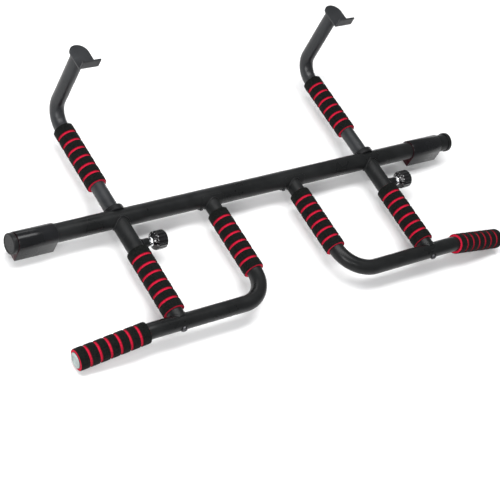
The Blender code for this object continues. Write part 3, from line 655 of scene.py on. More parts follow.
def fastener_tree(material):
    """One screw at every point, turned so that its head points along the value called way."""
    tree, wiring, given = geometry_tree("Fasteners", {"Screw": None})
    way = wiring.node("GeometryNodeInputNamedAttribute", data_type="FLOAT_VECTOR", in_Name="way")
    turn = wiring.node("FunctionNodeAlignRotationToVector", axis="Z", in_Vector=way.outputs[0])
    source = wiring.node("GeometryNodeObjectInfo", in_Object=given.outputs["Screw"])
    points = wiring.node("GeometryNodeMeshToPoints", in_Mesh=given.outputs["Geometry"])
    spread = wiring.node("GeometryNodeInstanceOnPoints", in_Points=points.outputs[0])
    wiring.put(source.outputs["Geometry"], spread.inputs["Instance"])
    wiring.put(turn.outputs[0], spread.inputs["Rotation"])
    close_tree(tree, wiring, spread.outputs[0], material)
    return tree


# ---------------------------------------------------------------- surface groups
def grain_group():
    """Fine grain: a height for bumps and a slow mottle for colour and roughness."""
    group = bpy.data.node_groups.get("Surface grain")
    if group:
        return group
    group = bpy.data.node_groups.new("Surface grain", "ShaderNodeTree")
    socket(group, "Vector", "NodeSocketVector")
    socket(group, "Grain scale", "NodeSocketFloat", default=900.0)
    socket(group, "Mottle scale", "NodeSocketFloat", default=30.0)
    socket(group, "Height", "NodeSocketFloat", "OUTPUT")
    socket(group, "Mottle", "NodeSocketFloat", "OUTPUT")
    wiring = Wiring(group)
    given = group.nodes.new("NodeGroupInput").outputs
    fine = wiring.node("ShaderNodeTexNoise", in_Vector=given[0], in_Scale=given[1], in_Detail=3.0)
    slow = wiring.node("ShaderNodeTexNoise", in_Vector=given[0], in_Scale=given[2], in_Detail=4.0)
    out = group.nodes.new("NodeGroupOutput")
    wiring.put(fine.outputs[0], out.inputs[0])
    wiring.put(wiring.ramp(slow.outputs[0], 0.3, 0.7), out.inputs[1])
    return group


def scuff_group():
    """Sparse fine scuffs and specks: a mask that is mostly zero."""
    group = bpy.data.node_groups.get("Scuffs")
    if group:
        return group
    group = bpy.data.node_groups.new("Scuffs", "ShaderNodeTree")
    socket(group, "Vector", "NodeSocketVector")
    socket(group, "Scale", "NodeSocketFloat", default=120.0)
    socket(group, "Amount", "NodeSocketFloat", default=0.3)
    socket(group, "Mask", "NodeSocketFloat", "OUTPUT")
    wiring = Wiring(group)
    given = group.nodes.new("NodeGroupInput").outputs
    stretch = wiring.node("ShaderNodeVectorMath", operation="MULTIPLY", in_0=given[0], in_1=(0.25, 1.0, 1.0))
    marks = wiring.node("ShaderNodeTexNoise", in_Vector=stretch.outputs[0], in_Scale=given[1], in_Detail=6.0)
    patch = wiring.node("ShaderNodeTexNoise", in_Vector=given[0], in_Scale=14.0, in_Detail=2.0)
    sparse = wiring.maths("MULTIPLY", wiring.ramp(marks.outputs[0], 0.62, 0.74), wiring.ramp(
        patch.outputs[0], 0.45, 0.65))
    out = group.nodes.new("NodeGroupOutput")
    wiring.put(wiring.maths("MULTIPLY", sparse, given[2]), out.inputs[0])
    return group


def mixed(wiring, mask, low, high):
    """A colour between two colours by a mask."""
    mix = wiring.node("ShaderNodeMix", data_type="RGBA")
    wiring.put(mask, mix.inputs[0])
    for index, value in ((6, low), (7, high)):
        wiring.put(value if isinstance(value, bpy.types.NodeSocket) else (*value, 1.0), mix.inputs[index])
    return mix.outputs[2]


def lighter(shade, factor):
    """A colour made lighter or darker."""
    return tuple(min(1.0, part * factor) for part in shade)


def finish(name, shade, roughness, metallic=0.0, grain=900.0, mottle=30.0, bump=0.1, spread=0.08,
           scuffs=0.3, contrast=1.25, coat=0.0, coat_roughness=0.1, sheen=0.0, depth=0.0001, mark=None,
           specular=0.15):
    """A solid finish with grain, mottle and scuffs. mark is (attribute, second colour)."""
    material = bpy.data.materials.get(name)
    if material:
        return material
    material = bpy.data.materials.new(name)
    material.use_nodes = True
    material.diffuse_color = (*shade, 1.0)
    tree = material.node_tree
    wiring = Wiring(tree)
    shader = tree.nodes["Principled BSDF"]
    shader.inputs["Metallic"].default_value = metallic
    shader.inputs["Coat Weight"].default_value = coat
    shader.inputs["Coat Roughness"].default_value = coat_roughness
    shader.inputs["Sheen Weight"].default_value = sheen
    shader.inputs["Specular IOR Level"].default_value = specular
    spot = wiring.node("ShaderNodeTexCoord").outputs["Object"]
    texture = wiring.node("ShaderNodeGroup", node_tree=grain_group())
    wiring.put(spot, texture.inputs["Vector"])
    texture.inputs["Grain scale"].default_value = grain
    texture.inputs["Mottle scale"].default_value = mottle
    marks = wiring.node("ShaderNodeGroup", node_tree=scuff_group())
    wiring.put(spot, marks.inputs["Vector"])
    marks.inputs["Amount"].default_value = scuffs
    base = mixed(wiring, texture.outputs["Mottle"], lighter(shade, 1.0 / contrast), lighter(shade, contrast))
    if mark is not None:
        second = mixed(wiring, texture.outputs["Mottle"], lighter(mark[1], 0.82), lighter(mark[1], 1.15))
        attribute = wiring.node("ShaderNodeAttribute", attribute_name=mark[0])
        base = mixed(wiring, attribute.outputs["Fac"], base, second)
    base = mixed(wiring, marks.outputs["Mask"], base, lighter(shade, 3.5))
    wiring.put(base, shader.inputs["Base Color"])
    rough = wiring.node("ShaderNodeMapRange")
    for item, value in zip(rough.inputs[:5], (texture.outputs["Mottle"], 0.0, 1.0,
                                              roughness - spread, roughness + spread)):
        wiring.put(value, item)
    total = wiring.maths("ADD", rough.outputs[0], wiring.maths("MULTIPLY", marks.outputs["Mask"], 0.25))
    wiring.put(total, shader.inputs["Roughness"])
    relief = wiring.node("ShaderNodeBump", in_Height=texture.outputs["Height"])
    relief.inputs["Strength"].default_value = bump
    relief.inputs["Distance"].default_value = depth
    wiring.put(relief.outputs[0], shader.inputs["Normal"])
    return material


def frame_paint():
    """Satin powder coat of the fixed tubes."""
    return finish("Satin powder coat", settings().finish.paint, 0.34, grain=1000.0, bump=0.5, mottle=22.0)


def arm_paint():
    """Satin powder coat of the hook arms, lighter than the frame paint: painted light where the arms face the
    lamps.
    """
    return finish("Arm coat with painted light", settings().finish.arm_paint, 0.36, grain=1000.0, bump=0.5, mottle=22.0,
                  specular=0.3)


def nylon():
    """Moulded nylon of the caps and collars."""
    return finish("Moulded nylon", settings().finish.nylon, 0.34, grain=1100.0, bump=0.25, mottle=60.0)


def pad_rubber():
    """Smooth gloss of the door pads."""
    values = settings().finish
    return finish("Gloss pad", values.pad, 0.30, grain=500.0, bump=0.08, mottle=16.0, coat=0.12,
                  coat_roughness=0.12, scuffs=0.25, mark=("core", values.pad_core), specular=0.12)


def foam_skin():
    """Foam: a matt black skin, with the red core in the grooves and at the ends."""
    values = settings().finish
    return finish("Ribbed foam", values.foam, 0.82, grain=1100.0, bump=1.0, depth=0.0005, mottle=420.0,
                  sheen=0.02, scuffs=0.0, contrast=2.3, mark=("groove", values.core), specular=0.06)


def knob_gloss():
    """Gloss moulding of the lock knobs."""
    return finish("Gloss knob", settings().finish.knob, 0.13, grain=600.0, bump=0.05, mottle=40.0, coat=0.25,
                  coat_roughness=0.06, scuffs=0.2, spread=0.04, specular=0.6)


def bright_steel():
    """Plated steel of the rings and screws."""
    return finish("Bright steel", settings().finish.bright, 0.20, metallic=1.0, grain=900.0, bump=0.12,
                  scuffs=0.1, contrast=1.06, spread=0.06)


def dark_steel():
    """Blackened steel of the bolts."""
    return finish("Blackened steel", settings().finish.dark, 0.34, metallic=1.0, grain=900.0, bump=0.15)


def tip_grey():
    """Pale moulding of the handle plugs."""
    return finish("Pale plug", settings().finish.tip, 0.42, grain=800.0, bump=0.2, mottle=50.0, scuffs=0.1)


FINISHES = {
    "frame_paint": frame_paint,
    "arm_paint": arm_paint,
    "black_nylon": nylon,
    "pad_rubber": pad_rubber,
    "bright_steel": bright_steel,
    "tip_plug": tip_grey,
}


# ---------------------------------------------------------------- operators
class PULLUP_OT_stage(bpy.types.Operator):
    """Set up the floor, the soft lights and the camera"""

    bl_idname = "pullup.stage"
    bl_label = "Stage"

    def execute(self, context):
        values = settings().stage
        low = CAD_BOX[0].z - FLOOR_CLEARANCE
        bm = bmesh.new()
        bmesh.ops.create_circle(bm, cap_ends=True, segments=96, radius=FLOOR_RADIUS)
        mesh = bpy.data.meshes.new("floor")
        bm.to_mesh(mesh)
        bm.free()
        mesh.transform(Matrix.Translation((0, 0, low)))
        floor = linked("floor", mesh)
        mesh.materials.append(
            finish("Floor", values.floor, 0.85, grain=60.0, mottle=2.0, bump=0.02, scuffs=0.0, contrast=1.01)
        )
        self.add_world(context)
        self.add_lights()
        self.add_camera(context, values)
        context.scene.view_settings.view_transform = "Standard"
        return {"FINISHED"}

    @staticmethod
    def add_world(context):
        """Dim even light all round, behind a white backdrop."""
        world = bpy.data.worlds.new("Studio")
        world.use_nodes = True
        light = world.node_tree.nodes["Background"]
        light.inputs["Color"].default_value = (0.97, 0.98, 1.0, 1.0)
        wiring = Wiring(world.node_tree)
        seen = wiring.node("ShaderNodeLightPath").outputs["Is Camera Ray"]
        wiring.put(wiring.maths("MULTIPLY_ADD", seen, WORLD_BACKDROP, WORLD_LIGHT), light.inputs["Strength"])
        context.scene.world = world

    @staticmethod
    def add_lights():
        """Soft boxes whose length lies along the bar, and a small lamp that makes the glints."""
        for name, spot, length_x, width, power in (
            ("overhead", (-0.5, 0.25, 2.2), 2.8, 0.8, 70.0),
            ("left", (-2.3, -1.3, 1.5), 1.0, 1.2, 50.0),
            ("glint", (-1.1, -1.9, 2.1), 0.26, 0.26, 12.0),
            ("behind", (0.3, 2.6, 1.5), 2.2, 0.5, 14.0),
        ):
            lamp = bpy.data.lights.new(name, "AREA")
            lamp.shape = "RECTANGLE"
            lamp.size = length_x
            lamp.size_y = width
            lamp.energy = power
            back = Vector(spot).normalized()
            side = (Vector((1, 0, 0)) - back * back.x).normalized()
            set_down(linked(name, lamp), spot, side, back.cross(side), back)

    @staticmethod
    def add_camera(context, values):
        """Camera looking down at the bar from the user's left."""
        turn, lift, roll = values.azimuth, values.elevation, values.roll
        right = Vector((math.cos(turn), math.sin(turn), 0.0))
        back = Vector((math.sin(turn) * math.cos(lift), -math.cos(turn) * math.cos(lift), math.sin(lift)))
        up = back.cross(right)
        side = right * math.cos(roll) + up * math.sin(roll)
        top = up * math.cos(roll) - right * math.sin(roll)
        data = bpy.data.cameras.new("camera")
        data.lens = values.lens
        data.sensor_width = 36.0
        data.shift_x, data.shift_y = CAMERA_SHIFT
        data.clip_end = 50.0
        camera = linked("camera", data)
        spot = side * CAMERA_ASIDE - top * CAMERA_DOWN + back * values.distance
        set_down(camera, spot, side, top, back)
        context.scene.camera = camera


class PULLUP_OT_crossbar(bpy.types.Operator):
    """Build the crossbar tube and its end caps"""

    bl_idname = "pullup.crossbar"
    bl_label = "Crossbar"

    def execute(self, context):
        around = settings().tubes.around
        low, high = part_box("crossbar_tube")
        radius = high.z
        profile = [(low.x, 0.0), (low.x, radius - 0.0006), (low.x + 0.0006, radius)]
        profile += [(high.x - 0.0006, radius), (high.x, radius - 0.0006), (high.x, 0.0)]
        mesh = turned(profile, (0, 0, 0), (1, 0, 0), around)
        place("crossbar", mesh, "frame", ["crossbar_tube"], "frame_paint")
        for side, sign in SIDES:
            low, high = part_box(side + "_end_cap")
            end = high.x if sign > 0 else -low.x
            rim = high.z
            seat = abs(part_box("crossbar_tube")[1].x)
            profile = [(seat - 0.014, 0.0), (seat - 0.014, radius - 0.003), (seat, radius - 0.003)]
            profile += [(seat, rim - 0.0004), (seat + 0.0004, rim)]
            profile += rounded((end, rim), (-1, 0), (0, -1), 0.0022)
            profile += [(end, rim - 0.0036), (end - 0.0008, rim - 0.0042), (end - 0.0009, 0.0)]
            mesh = turned(profile, (0, 0, 0), (sign, 0, 0), around)
            place(side + "_cap", mesh, "frame", [side + "_end_cap"], "black_nylon")
        return {"FINISHED"}


class PULLUP_OT_pads(bpy.types.Operator):
    """Build the two turning door pads"""

    bl_idname = "pullup.pads"
    bl_label = "Door pads"

    def execute(self, context):
        for side, sign in SIDES:
            low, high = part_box(side + "_door_pad")
            mesh = self.shell(low, high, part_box("crossbar_tube")[1].z + PAD_CLEARANCE)
            place(side + "_pad", mesh, side + "_pad", [side + "_door_pad"], "pad_rubber", sharp=50.0)
        return {"FINISHED"}

    @staticmethod
    def outline(radius, foot, corner):
        """Points of the pad's section from the side over the back to the foot."""
        points = []
        for step in range(49):
            angle = math.pi * step / 48
            points.append((radius * math.cos(angle), radius * math.sin(angle)))
        sweep = [(math.pi + math.pi / 2.0 * step / 8) for step in range(9)]
        points += [(-radius, -foot * 0.33), (-radius, -foot * 0.66)]
        points += [
            (-radius + corner + corner * math.cos(a), -foot + corner + corner * math.sin(a)) for a in sweep
        ]
        points += [(x, -foot) for x in (-0.012, -0.006, 0.0, 0.006, 0.012)]
        points += [
            (radius - corner + corner * math.cos(a + math.pi / 2.0),
             -foot + corner + corner * math.sin(a + math.pi / 2.0))
            for a in sweep
        ]
        points += [(radius, -foot * 0.66), (radius, -foot * 0.33)]
        return points

    def shell(self, low, high, bore):
        """The pad as a body with a bore, its end rims rounded, and the mask of its core."""
        section = self.outline(high.z, -low.z, 0.0022)
        edge = 0.0009
        bm = bmesh.new()
        layer = bm.verts.layers.float.new("core")
        rings = []
        stops = [(low.x, -edge, 1.0), (low.x + edge * 0.3, -edge * 0.4, 0.0), (low.x + edge, 0.0, 0.0)]
        stops += [(high.x - edge, 0.0, 0.0), (high.x - edge * 0.3, -edge * 0.4, 0.0), (high.x, -edge, 1.0)]
        stops += [(high.x, None, 1.0), (low.x, None, 1.0)]
        for x, grow, core in stops:
            ring = []
            for y, z in section:
                reach = math.hypot(y, z)
                size = bore if grow is None else reach + grow
                vert = bm.verts.new((x, y * size / reach, z * size / reach))
                vert[layer] = core
                ring.append(vert)
            rings.append(ring)
        for one, two in zip(rings, rings[1:] + rings[:1]):
            bridge(bm, one, two)
        return outward(bm)


def tube_crossing(small, large, offset, direction):
    """Closed line where a small tube along Y meets a larger round tube along X."""
    points = []
    for x, z in circle(BEAD_POINTS):
        across = small * z
        reach = math.sqrt(max(0.0, large ** 2 - across ** 2))
        points.append(Vector((small * x, direction * reach, across)) + Vector(offset))
    return points


class PULLUP_OT_sleeves(bpy.types.Operator):
    """Build the sleeves with their guide collars, knob bosses and weld beads"""

    bl_idname = "pullup.sleeves"
    bl_label = "Sleeves"

    def execute(self, context):
        values = settings().tubes
        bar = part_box("crossbar_tube")[1].z
        bead_tree = weld_bead_tree(frame_paint())
        for side, sign in SIDES:
            low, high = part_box(side + "_sleeve_tube")
            x = (low.x + high.x) / 2.0
            radius = high.z
            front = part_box(side + "_handle_tube")[0].y + HANDLE_RADIUS
            profile = [(0.004, 0.0), (0.004, radius), (-front - 0.004, radius), (-front - 0.004, 0.0)]
            mesh = turned(profile, (x, 0, 0), (0, -1, 0), values.around)
            place(side + "_sleeve", mesh, "frame", [side + "_sleeve_tube"], "frame_paint")
            self.collar(side, x, values.around)
            self.boss(side, x, radius)
            beads = [
                tube_crossing(radius, bar, (x, 0, 0), -1.0),
                tube_crossing(radius * 0.9, HANDLE_RADIUS + 0.0002, (x, front, 0), 1.0),
            ]
            meshes = [
                run_tree(bead_tree, line_mesh(line, True), {"Radius": values.bead}) for line in beads
            ]
            place(side + "_sleeve_welds", joined(meshes), "frame", [], "frame_paint", sharp=80.0)
        return {"FINISHED"}

    @staticmethod
    def collar(side, x, around):
        """Ring behind the crossbar that the arm slides through."""
        low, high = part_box(side + "_guide_collar")
        rim = high.z
        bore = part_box(side + "_hook_arm")[1].x - x + ARM_CLEARANCE
        profile = [(low.y, bore), (low.y, rim - 0.0010), (low.y + 0.0010, rim)]
        profile += rounded((high.y, rim), (-1, 0), (0, -1), 0.0014)
        profile += [(high.y, bore + 0.0012), (high.y - 0.0012, bore)]
        mesh = turned(profile, (x, 0, 0), (0, 1, 0), around)
        place(side + "_collar", mesh, "frame", [side + "_guide_collar"], "black_nylon")

    @staticmethod
    def boss(side, x, sleeve):
        """Round boss for the lock screw, flared where it is welded to the sleeve."""
        low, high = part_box(side + "_knob_boss")
        y = (low.y + high.y) / 2.0
        radius = high.z
        end = high.x - x
        flare = radius + 0.0012
        profile = [(sleeve - 0.006, 0.0), (sleeve - 0.006, flare), (sleeve + 0.0002, flare)]
        profile += [(sleeve + 0.0014, radius + 0.0006), (sleeve + 0.0024, radius)]
        profile += rounded((end, radius), (-1, 0), (0, -1), 0.0010)
        profile += [(end, 0.0052), (end - 0.0012, 0.0044), (end - 0.0012, 0.0)]
        mesh = turned(profile, (x, y, 0), (1, 0, 0), 48)
        place(side + "_boss", mesh, "frame", [side + "_knob_boss"], "frame_paint")


class PULLUP_OT_hook_arms(bpy.types.Operator):
    """Build the sliding hook arms and their hook plates"""

    bl_idname = "pullup.hook_arms"
    bl_label = "Hook arms"

    def execute(self, context):
        values = settings().tubes
        # The arms, plates and welds get the lighter paint: painted light on them.
        tube_tree = bent_tube_tree(arm_paint())
        bead_tree = weld_bead_tree(arm_paint())
        for side, sign in SIDES:
            low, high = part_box(side + "_hook_arm")
            x = (low.x + high.x) / 2.0
            radius = (high.x - low.x) / 2.0
            back = high.y - radius
            points = [(x, low.y, 0), (x, back, 0), (x, back, high.z)]
            line = line_mesh(points, bend=[0.0, values.arm_bend, 0.0])
            sizes = {"Radius": radius, "Around": values.around, "Bend steps": 28}
            place(side + "_arm", run_tree(tube_tree, line, sizes), side + "_arm", [side + "_hook_arm"],
                  "arm_paint", sharp=50.0)
            plate = finished_sheet(self.plate(side, x), PLATE_THICKNESS, 0.0006)
            place(side + "_plate", plate, side + "_arm", [side + "_hook_plate"], "arm_paint")
            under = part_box(side + "_hook_plate")[0].z
            ring = [(x + radius * a, back + radius * b, under - 0.0004) for a, b in circle(BEAD_POINTS)]
            bead = run_tree(bead_tree, line_mesh(ring, True), {"Radius": values.bead})
            place(side + "_plate_weld", bead, side + "_arm", [], "arm_paint", sharp=80.0)
        return {"FINISHED"}

    @staticmethod
    def plate(side, x):
        """Middle surface of the hook: the lip, its bend and the plate with a round rear end."""
        low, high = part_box(side + "_hook_plate")
        half = (high.x - low.x) / 2.0
        middle = PLATE_THICKNESS / 2.0
        bend = 0.0032
        rows = []
        for step in range(6):
            height = high.z - (high.z - low.z - middle - bend) * step / 5
            rows.append((low.y + middle, height, half))
        for step in range(1, 7):
            angle = math.pi / 2.0 * step / 6
            rows.append((low.y + middle + bend * (1.0 - math.cos(angle)),
                         low.z + middle + bend * (1.0 - math.sin(angle)), half))
        round_y = high.y - half
        rows += [(low.y + middle + bend + (round_y - low.y - middle - bend) * step / 5, low.z + middle, half)
                 for step in range(1, 6)]
        for step in range(1, 25):
            angle = math.pi / 2.0 * step / 24
            rows.append((round_y + half * math.sin(angle), low.z + middle, half * math.cos(angle)))
        across = [2.0 * column / PLATE_COLUMNS - 1.0 for column in range(PLATE_COLUMNS + 1)]
        return sheet([[(x + width * part, y, z) for part in across] for y, z, width in rows])


class PULLUP_OT_handles(bpy.types.Operator):
    """Build the bent handle tubes and the plugs in their ends"""

    bl_idname = "pullup.handles"
    bl_label = "Handles"

    def execute(self, context):
        values = settings().tubes
        tube_tree = bent_tube_tree(frame_paint())
        bead_tree = weld_bead_tree(frame_paint())
        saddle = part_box("left_leg_saddle")[0].y
        for side, sign in SIDES:
            front, tip, way, radius = handle_line(side, sign)
            leg = centre(side + "_leg_grip").x
            corner = Vector((sign * values.outer_bend_x, front, 0.0))
            points = [(leg, -0.012, 0.0), (leg, front, 0.0), tuple(corner), tuple(tip)]
            line = line_mesh(points, bend=[0.0, values.leg_bend, values.outer_bend, 0.0])
            sizes = {"Radius": radius, "Around": values.around, "Bend steps": 32}
            place(side + "_handle", run_tree(tube_tree, line, sizes), "frame", [side + "_handle_tube"],
                  "frame_paint", sharp=50.0)
            crossing = tube_crossing(radius, -saddle, (leg, 0, 0), -1.0)
            bead = run_tree(bead_tree, line_mesh(crossing, True), {"Radius": values.bead * 0.9})
            place(side + "_leg_weld", bead, "frame", [], "frame_paint", sharp=80.0)
            profile = [(-0.010, 0.0), (-0.010, radius - 0.003), (0.0, radius - 0.003), (0.0, radius - 0.0008)]
            profile += rounded((0.0020, radius - 0.0006), (-1, 0), (0, -1), 0.0014)
            profile += [(0.0020, radius * 0.66), (0.0010, radius * 0.62), (0.0010, radius * 0.34)]
            profile += [(0.0015, radius * 0.30), (0.0015, 0.0)]
            mesh = turned(profile, tip, way, values.around)
            place(side + "_plug", mesh, "frame", [side + "_handle_plug"], "tip_plug")
        return {"FINISHED"}


def handle_line(side, sign):
    """Front tube's place, the handle's tip, the way it points and the tube's radius."""
    values = settings().tubes
    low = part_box(side + "_handle_tube")[0]
    radius = HANDLE_RADIUS
    front = low.y + radius
    way = Vector((sign * math.cos(values.outer_drop), 0.0, -math.sin(values.outer_drop)))
    low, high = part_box(side + "_handle_plug")
    outermost = max(abs(low.x), abs(high.x))
    rim = radius - PLUG_INSET
    tip_x = outermost - PLUG_RIM * math.cos(values.outer_drop) - rim * math.sin(values.outer_drop)
    run = (tip_x - values.outer_bend_x) / math.cos(values.outer_drop)
    tip = Vector((sign * values.outer_bend_x, front, 0.0)) + way * run
    return front, tip, way, radius


class PULLUP_OT_saddles(bpy.types.Operator):
    """Build the saddle plates, the screws in them and the front bolts"""

    bl_idname = "pullup.saddles"
    bl_label = "Saddles and fasteners"

    def execute(self, context):
        for side, sign in SIDES:
            low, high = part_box(side + "_leg_saddle")
            mesh = finished_sheet(self.curved(low, high), SADDLE_THICKNESS, 0.0004)
            place(side + "_saddle", mesh, "frame", [side + "_leg_saddle"], "frame_paint")
        tree = fastener_tree(dark_steel())
        small = self.screw(0.0036, 0.0022, 0.0013, 0.003)
        large = self.screw(0.0060, 0.0022, 0.0024, 0.004)
        seat = -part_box("left_leg_saddle")[0].y
        spots, ways, nodes = [], [], []
        way = Vector((0.0, -math.cos(SCREW_TILT), -math.sin(SCREW_TILT)))
        for side, sign in SIDES:
            for label in ("a", "b"):
                node = side + "_saddle_screw_" + label
                spots.append(Vector((centre(node).x, 0, 0)) + way * seat)
                ways.append(way)
                nodes.append(node)
        mesh = self.set_of(tree, small, spots, ways)
        place("saddle_screws", mesh, "frame", nodes, "dark_steel")
        spots, nodes = [], []
        for side, sign in SIDES:
            low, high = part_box(side + "_front_bolt")
            spots.append(Vector(((low.x + high.x) / 2.0, low.y + 0.0022, 0.0)))
            nodes.append(side + "_front_bolt")
        mesh = self.set_of(tree, large, spots, [Vector((0, -1, 0))] * 2)
        place("front_bolts", mesh, "frame", nodes, "dark_steel")
        for thing in (small, large):
            bpy.data.objects.remove(thing)
        return {"FINISHED"}

    @staticmethod
    def curved(low, high):
        """Middle surface of a plate bent round the front of the crossbar."""
        middle = -low.y - SADDLE_THICKNESS / 2.0
        turn = SADDLE_END - SADDLE_START
        rows = []
        for step in range(SADDLE_ROWS + 1):
            angle = SADDLE_START + turn * step / SADDLE_ROWS
            end = min(step, SADDLE_ROWS - step) * turn / SADDLE_ROWS * middle
            missing = max(0.0, SADDLE_CORNER - end)
            pull = SADDLE_CORNER - math.sqrt(max(0.0, SADDLE_CORNER ** 2 - missing ** 2))
            left, right = low.x + pull, high.x - pull
            y, z = middle * math.cos(angle), middle * math.sin(angle)
            columns = range(SADDLE_COLUMNS + 1)
            rows.append([(left + (right - left) * column / SADDLE_COLUMNS, y, z) for column in columns])
        return sheet(rows)

    @staticmethod
    def screw(radius, height, socket_radius, shank):
        """Low button head with a hexagon socket, head towards +Z, as a loose helper object."""
        bm = bmesh.new()
        rings = []
        profile = [(socket_radius, height * 0.35), (socket_radius, height)]
        profile += [(radius * 0.55, height * 0.97), (radius * 0.78, height * 0.80)]
        profile += [(radius * 0.93, height * 0.5), (radius, height * 0.14), (radius, 0.0)]
        profile += [(radius * 0.55, 0.0), (radius * 0.55, -shank)]
        for index, (size, z) in enumerate(profile):
            ring = []
            for step in range(SCREW_AROUND):
                angle = 2.0 * math.pi * step / SCREW_AROUND
                if index < 2:
                    fold = (angle % (math.pi / 3.0)) - math.pi / 6.0
                    reach = size * math.cos(math.pi / 6.0) / math.cos(fold)
                else:
                    reach = size
                ring.append(bm.verts.new((reach * math.cos(angle), reach * math.sin(angle), z)))
            rings.append(ring)
        for one, two in zip(rings, rings[1:]):
            bridge(bm, one, two)
        bm.faces.new(rings[0])
        bm.faces.new(rings[-1])
        return linked("screw_shape", outward(bm))

    @staticmethod
    def set_of(tree, shape, spots, ways):
        """One mesh with the screw at every spot."""
        mesh = bpy.data.meshes.new("spots")
        mesh.from_pydata([tuple(spot) for spot in spots], [], [])
        data = mesh.attributes.new("way", "FLOAT_VECTOR", "POINT").data
        for item, way in zip(data, ways):
            item.vector = way
        return run_tree(tree, mesh, {"Screw": shape})


class PULLUP_OT_grips(bpy.types.Operator):
    """Build the eight ribbed foam grips"""

    bl_idname = "pullup.grips"
    bl_label = "Foam grips"

    def execute(self, context):
        values = settings().grips
        tree = ribbed_grip_tree(foam_skin())
        seed = 1.0
        for side, sign in SIDES:
            for kind, body in (("arm", side + "_arm"), ("sleeve", "frame"), ("leg", "frame")):
                node = side + "_" + kind + "_grip"
                low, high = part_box(node)
                start = Vector(((low.x + high.x) / 2.0, low.y, 0.0))
                self.grip(tree, values, node, body, start, Vector((0, 1, 0)), high.y - low.y, high.z, seed)
                seed += SEED_STEP
            tip, way = handle_line(side, sign)[1:3]
            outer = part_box(side + "_leg_grip")[1].z
            start = tip - way * FOAM_OVER_TIP
            self.grip(tree, values, side + "_outer_grip", "frame", start, -way, GRIP_LENGTH, outer, seed)
            seed += SEED_STEP
        return {"FINISHED"}

    @staticmethod
    def grip(tree, values, node, body, start, way, run, radius, seed):
        """One grip from its start along a direction."""
        sizes = {
            "Length": run,
            "Radius": radius,
            "Ribs": values.ribs,
            "Floor": values.groove,
            "Wall": values.wall,
            "Depth": values.depth,
            "Crown": values.crown,
            "Edge": values.edge,
            "Seed": seed,
        }
        mesh = run_tree(tree, bpy.data.meshes.new("start"), sizes)
        turn = Vector((0, 0, 1)).rotation_difference(way).to_matrix().to_4x4()
        mesh.transform(Matrix.Translation(start) @ turn)
        name = node.replace("_grip", "_foam")
        thing = place(name, mesh, body, [node], "foam", sharp=60.0)


class PULLUP_OT_knobs(bpy.types.Operator):
    """Build the lock knobs with their bright rings and screws"""

    bl_idname = "pullup.knobs"
    bl_label = "Lock knobs"

    def execute(self, context):
        values = settings().knobs
        tree = flute_tree(knob_gloss())
        for side, sign in SIDES:
            low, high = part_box(side + "_lock_knob")
            x = centre(side + "_sleeve_tube").x
            y = centre(side + "_lock_knob").y
            start, end = low.x - x, high.x - x
            radius = (high.z - low.z) / 2.0
            profile = [(start, 0.0), (start, 0.0100), (start + 0.0006, 0.0108), (start + 0.0026, 0.0118)]
            profile += [(start + 0.0042, 0.0138), (start + 0.0056, radius - 0.0010)]
            profile += [(start + 0.0066, radius - 0.0002)]
            profile += [(start + 0.0076 + (end - start - 0.0116) * step / 16, radius) for step in range(17)]
            profile += [(end - 0.0030, radius - 0.0003), (end - 0.0018, radius - 0.0012)]
            profile += [(end - 0.0007, radius - 0.0026), (end, radius - 0.0042)]
            profile += [(end, radius - 0.0060), (end - 0.0008, radius - 0.0066), (end - 0.0008, 0.0)]
            base = turned(profile, (x, y, 0), (1, 0, 0), values.flutes * 16)
            sizes = {
                "Flutes": values.flutes,
                "Depth": values.depth,
                "Start": start + 0.0030,
                "End": end - 0.0002,
                "Full radius": radius,
                "Axis": (x, y, 0.0),
            }
            place(side + "_knob", run_tree(tree, base, sizes), side + "_knob", [side + "_lock_knob"],
                  "gloss_knob", sharp=45.0)
            self.ring(side, x, y)
            self.screw(side, x, y, values.thread_pitch)
        return {"FINISHED"}

    @staticmethod
    def ring(side, x, y):
        """Bright ring at the knob's neck."""
        low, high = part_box(side + "_knob_ring")
        radius = high.z
        start, end = low.x - x, high.x - x
        profile = [(start, 0.0045), (start, radius - 0.0012), (start + 0.0009, radius - 0.0002)]
        profile += [(start + 0.0016, radius), (end - 0.0004, radius), (end, radius - 0.0006), (end, 0.0045)]
        mesh = turned(profile, (x, y, 0), (1, 0, 0), 64)
        place(side + "_ring", mesh, side + "_knob", [side + "_knob_ring"], "bright_steel")

    @staticmethod
    def screw(side, x, y, pitch):
        """Threaded lock screw."""
        low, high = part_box(side + "_lock_screw")
        radius = high.z
        start, end = low.x - x, high.x - x
        profile = [(start, 0.0), (start, radius - 0.0008)]
        place_now = start + 0.0006
        while place_now + pitch < end:
            profile += [(place_now, radius - 0.0007), (place_now + pitch * 0.4, radius),
                        (place_now + pitch * 0.6, radius)]
            place_now += pitch
        profile += [(end, radius - 0.0007), (end, 0.0)]
        mesh = turned(profile, (x, y, 0), (1, 0, 0), 40)
        place(side + "_screw", mesh, side + "_knob", [side + "_lock_screw"], "bright_steel")


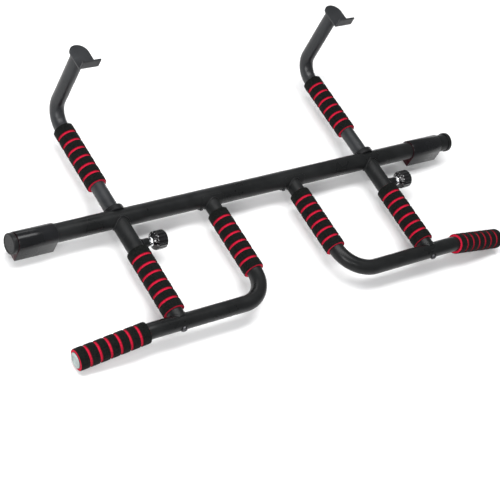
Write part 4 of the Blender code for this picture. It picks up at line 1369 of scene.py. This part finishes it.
class PULLUP_OT_inner_parts(bpy.types.Operator):
    """Give the inner pieces of the frame their finishes"""

    bl_idname = "pullup.inner_parts"
    bl_label = "Inner parts"

    def execute(self, context):
        finishes = {
            "_arm_glide": nylon,
            "_clamp_shoe": nylon,
            "_rivet_nut_a": bright_steel,
            "_rivet_nut_b": bright_steel,
            "_sleeve_insert": dark_steel,
            "_front_washer": dark_steel,
        }
        for side, sign in SIDES:
            for name, make in finishes.items():
                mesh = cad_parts[side + name].data
                mesh.materials.clear()
                mesh.materials.append(make())
        return {"FINISHED"}


class PULLUP_PT_panel(bpy.types.Panel):
    """Lists the steps that build the bar"""

    bl_idname = "PULLUP_PT_panel"
    bl_label = "Pull Up Bar"
    bl_space_type = "VIEW_3D"
    bl_region_type = "UI"
    bl_category = "Pull Up Bar"

    def draw(self, context):
        for step in STEPS:
            self.layout.operator(step.bl_idname)
        for group in ("tubes", "grips", "knobs", "finish", "stage"):
            box = self.layout.box()
            box.label(text=group.capitalize())
            part = getattr(settings(), group)
            for name in part.__annotations__:
                box.prop(part, name)


STEPS = (
    PULLUP_OT_stage,
    PULLUP_OT_crossbar,
    PULLUP_OT_pads,
    PULLUP_OT_sleeves,
    PULLUP_OT_hook_arms,
    PULLUP_OT_handles,
    PULLUP_OT_saddles,
    PULLUP_OT_grips,
    PULLUP_OT_knobs,
    PULLUP_OT_inner_parts,
)
CLASSES = (
    TubeSettings,
    GripSettings,
    KnobSettings,
    FinishSettings,
    StageSettings,
    PullUpBarSettings,
    *STEPS,
    PULLUP_PT_panel,
)


def register():
    for item in CLASSES:
        bpy.utils.register_class(item)
    bpy.types.Scene.pull_up_bar = PointerProperty(type=PullUpBarSettings)


def unregister():
    del bpy.types.Scene.pull_up_bar
    for item in reversed(CLASSES):
        bpy.utils.unregister_class(item)


def main():
    """Builds every piece in order."""
    register()
    for step in STEPS:
        group, name = step.bl_idname.split(".")
        getattr(getattr(bpy.ops, group), name)()


if __name__ == "__main__":
    main()
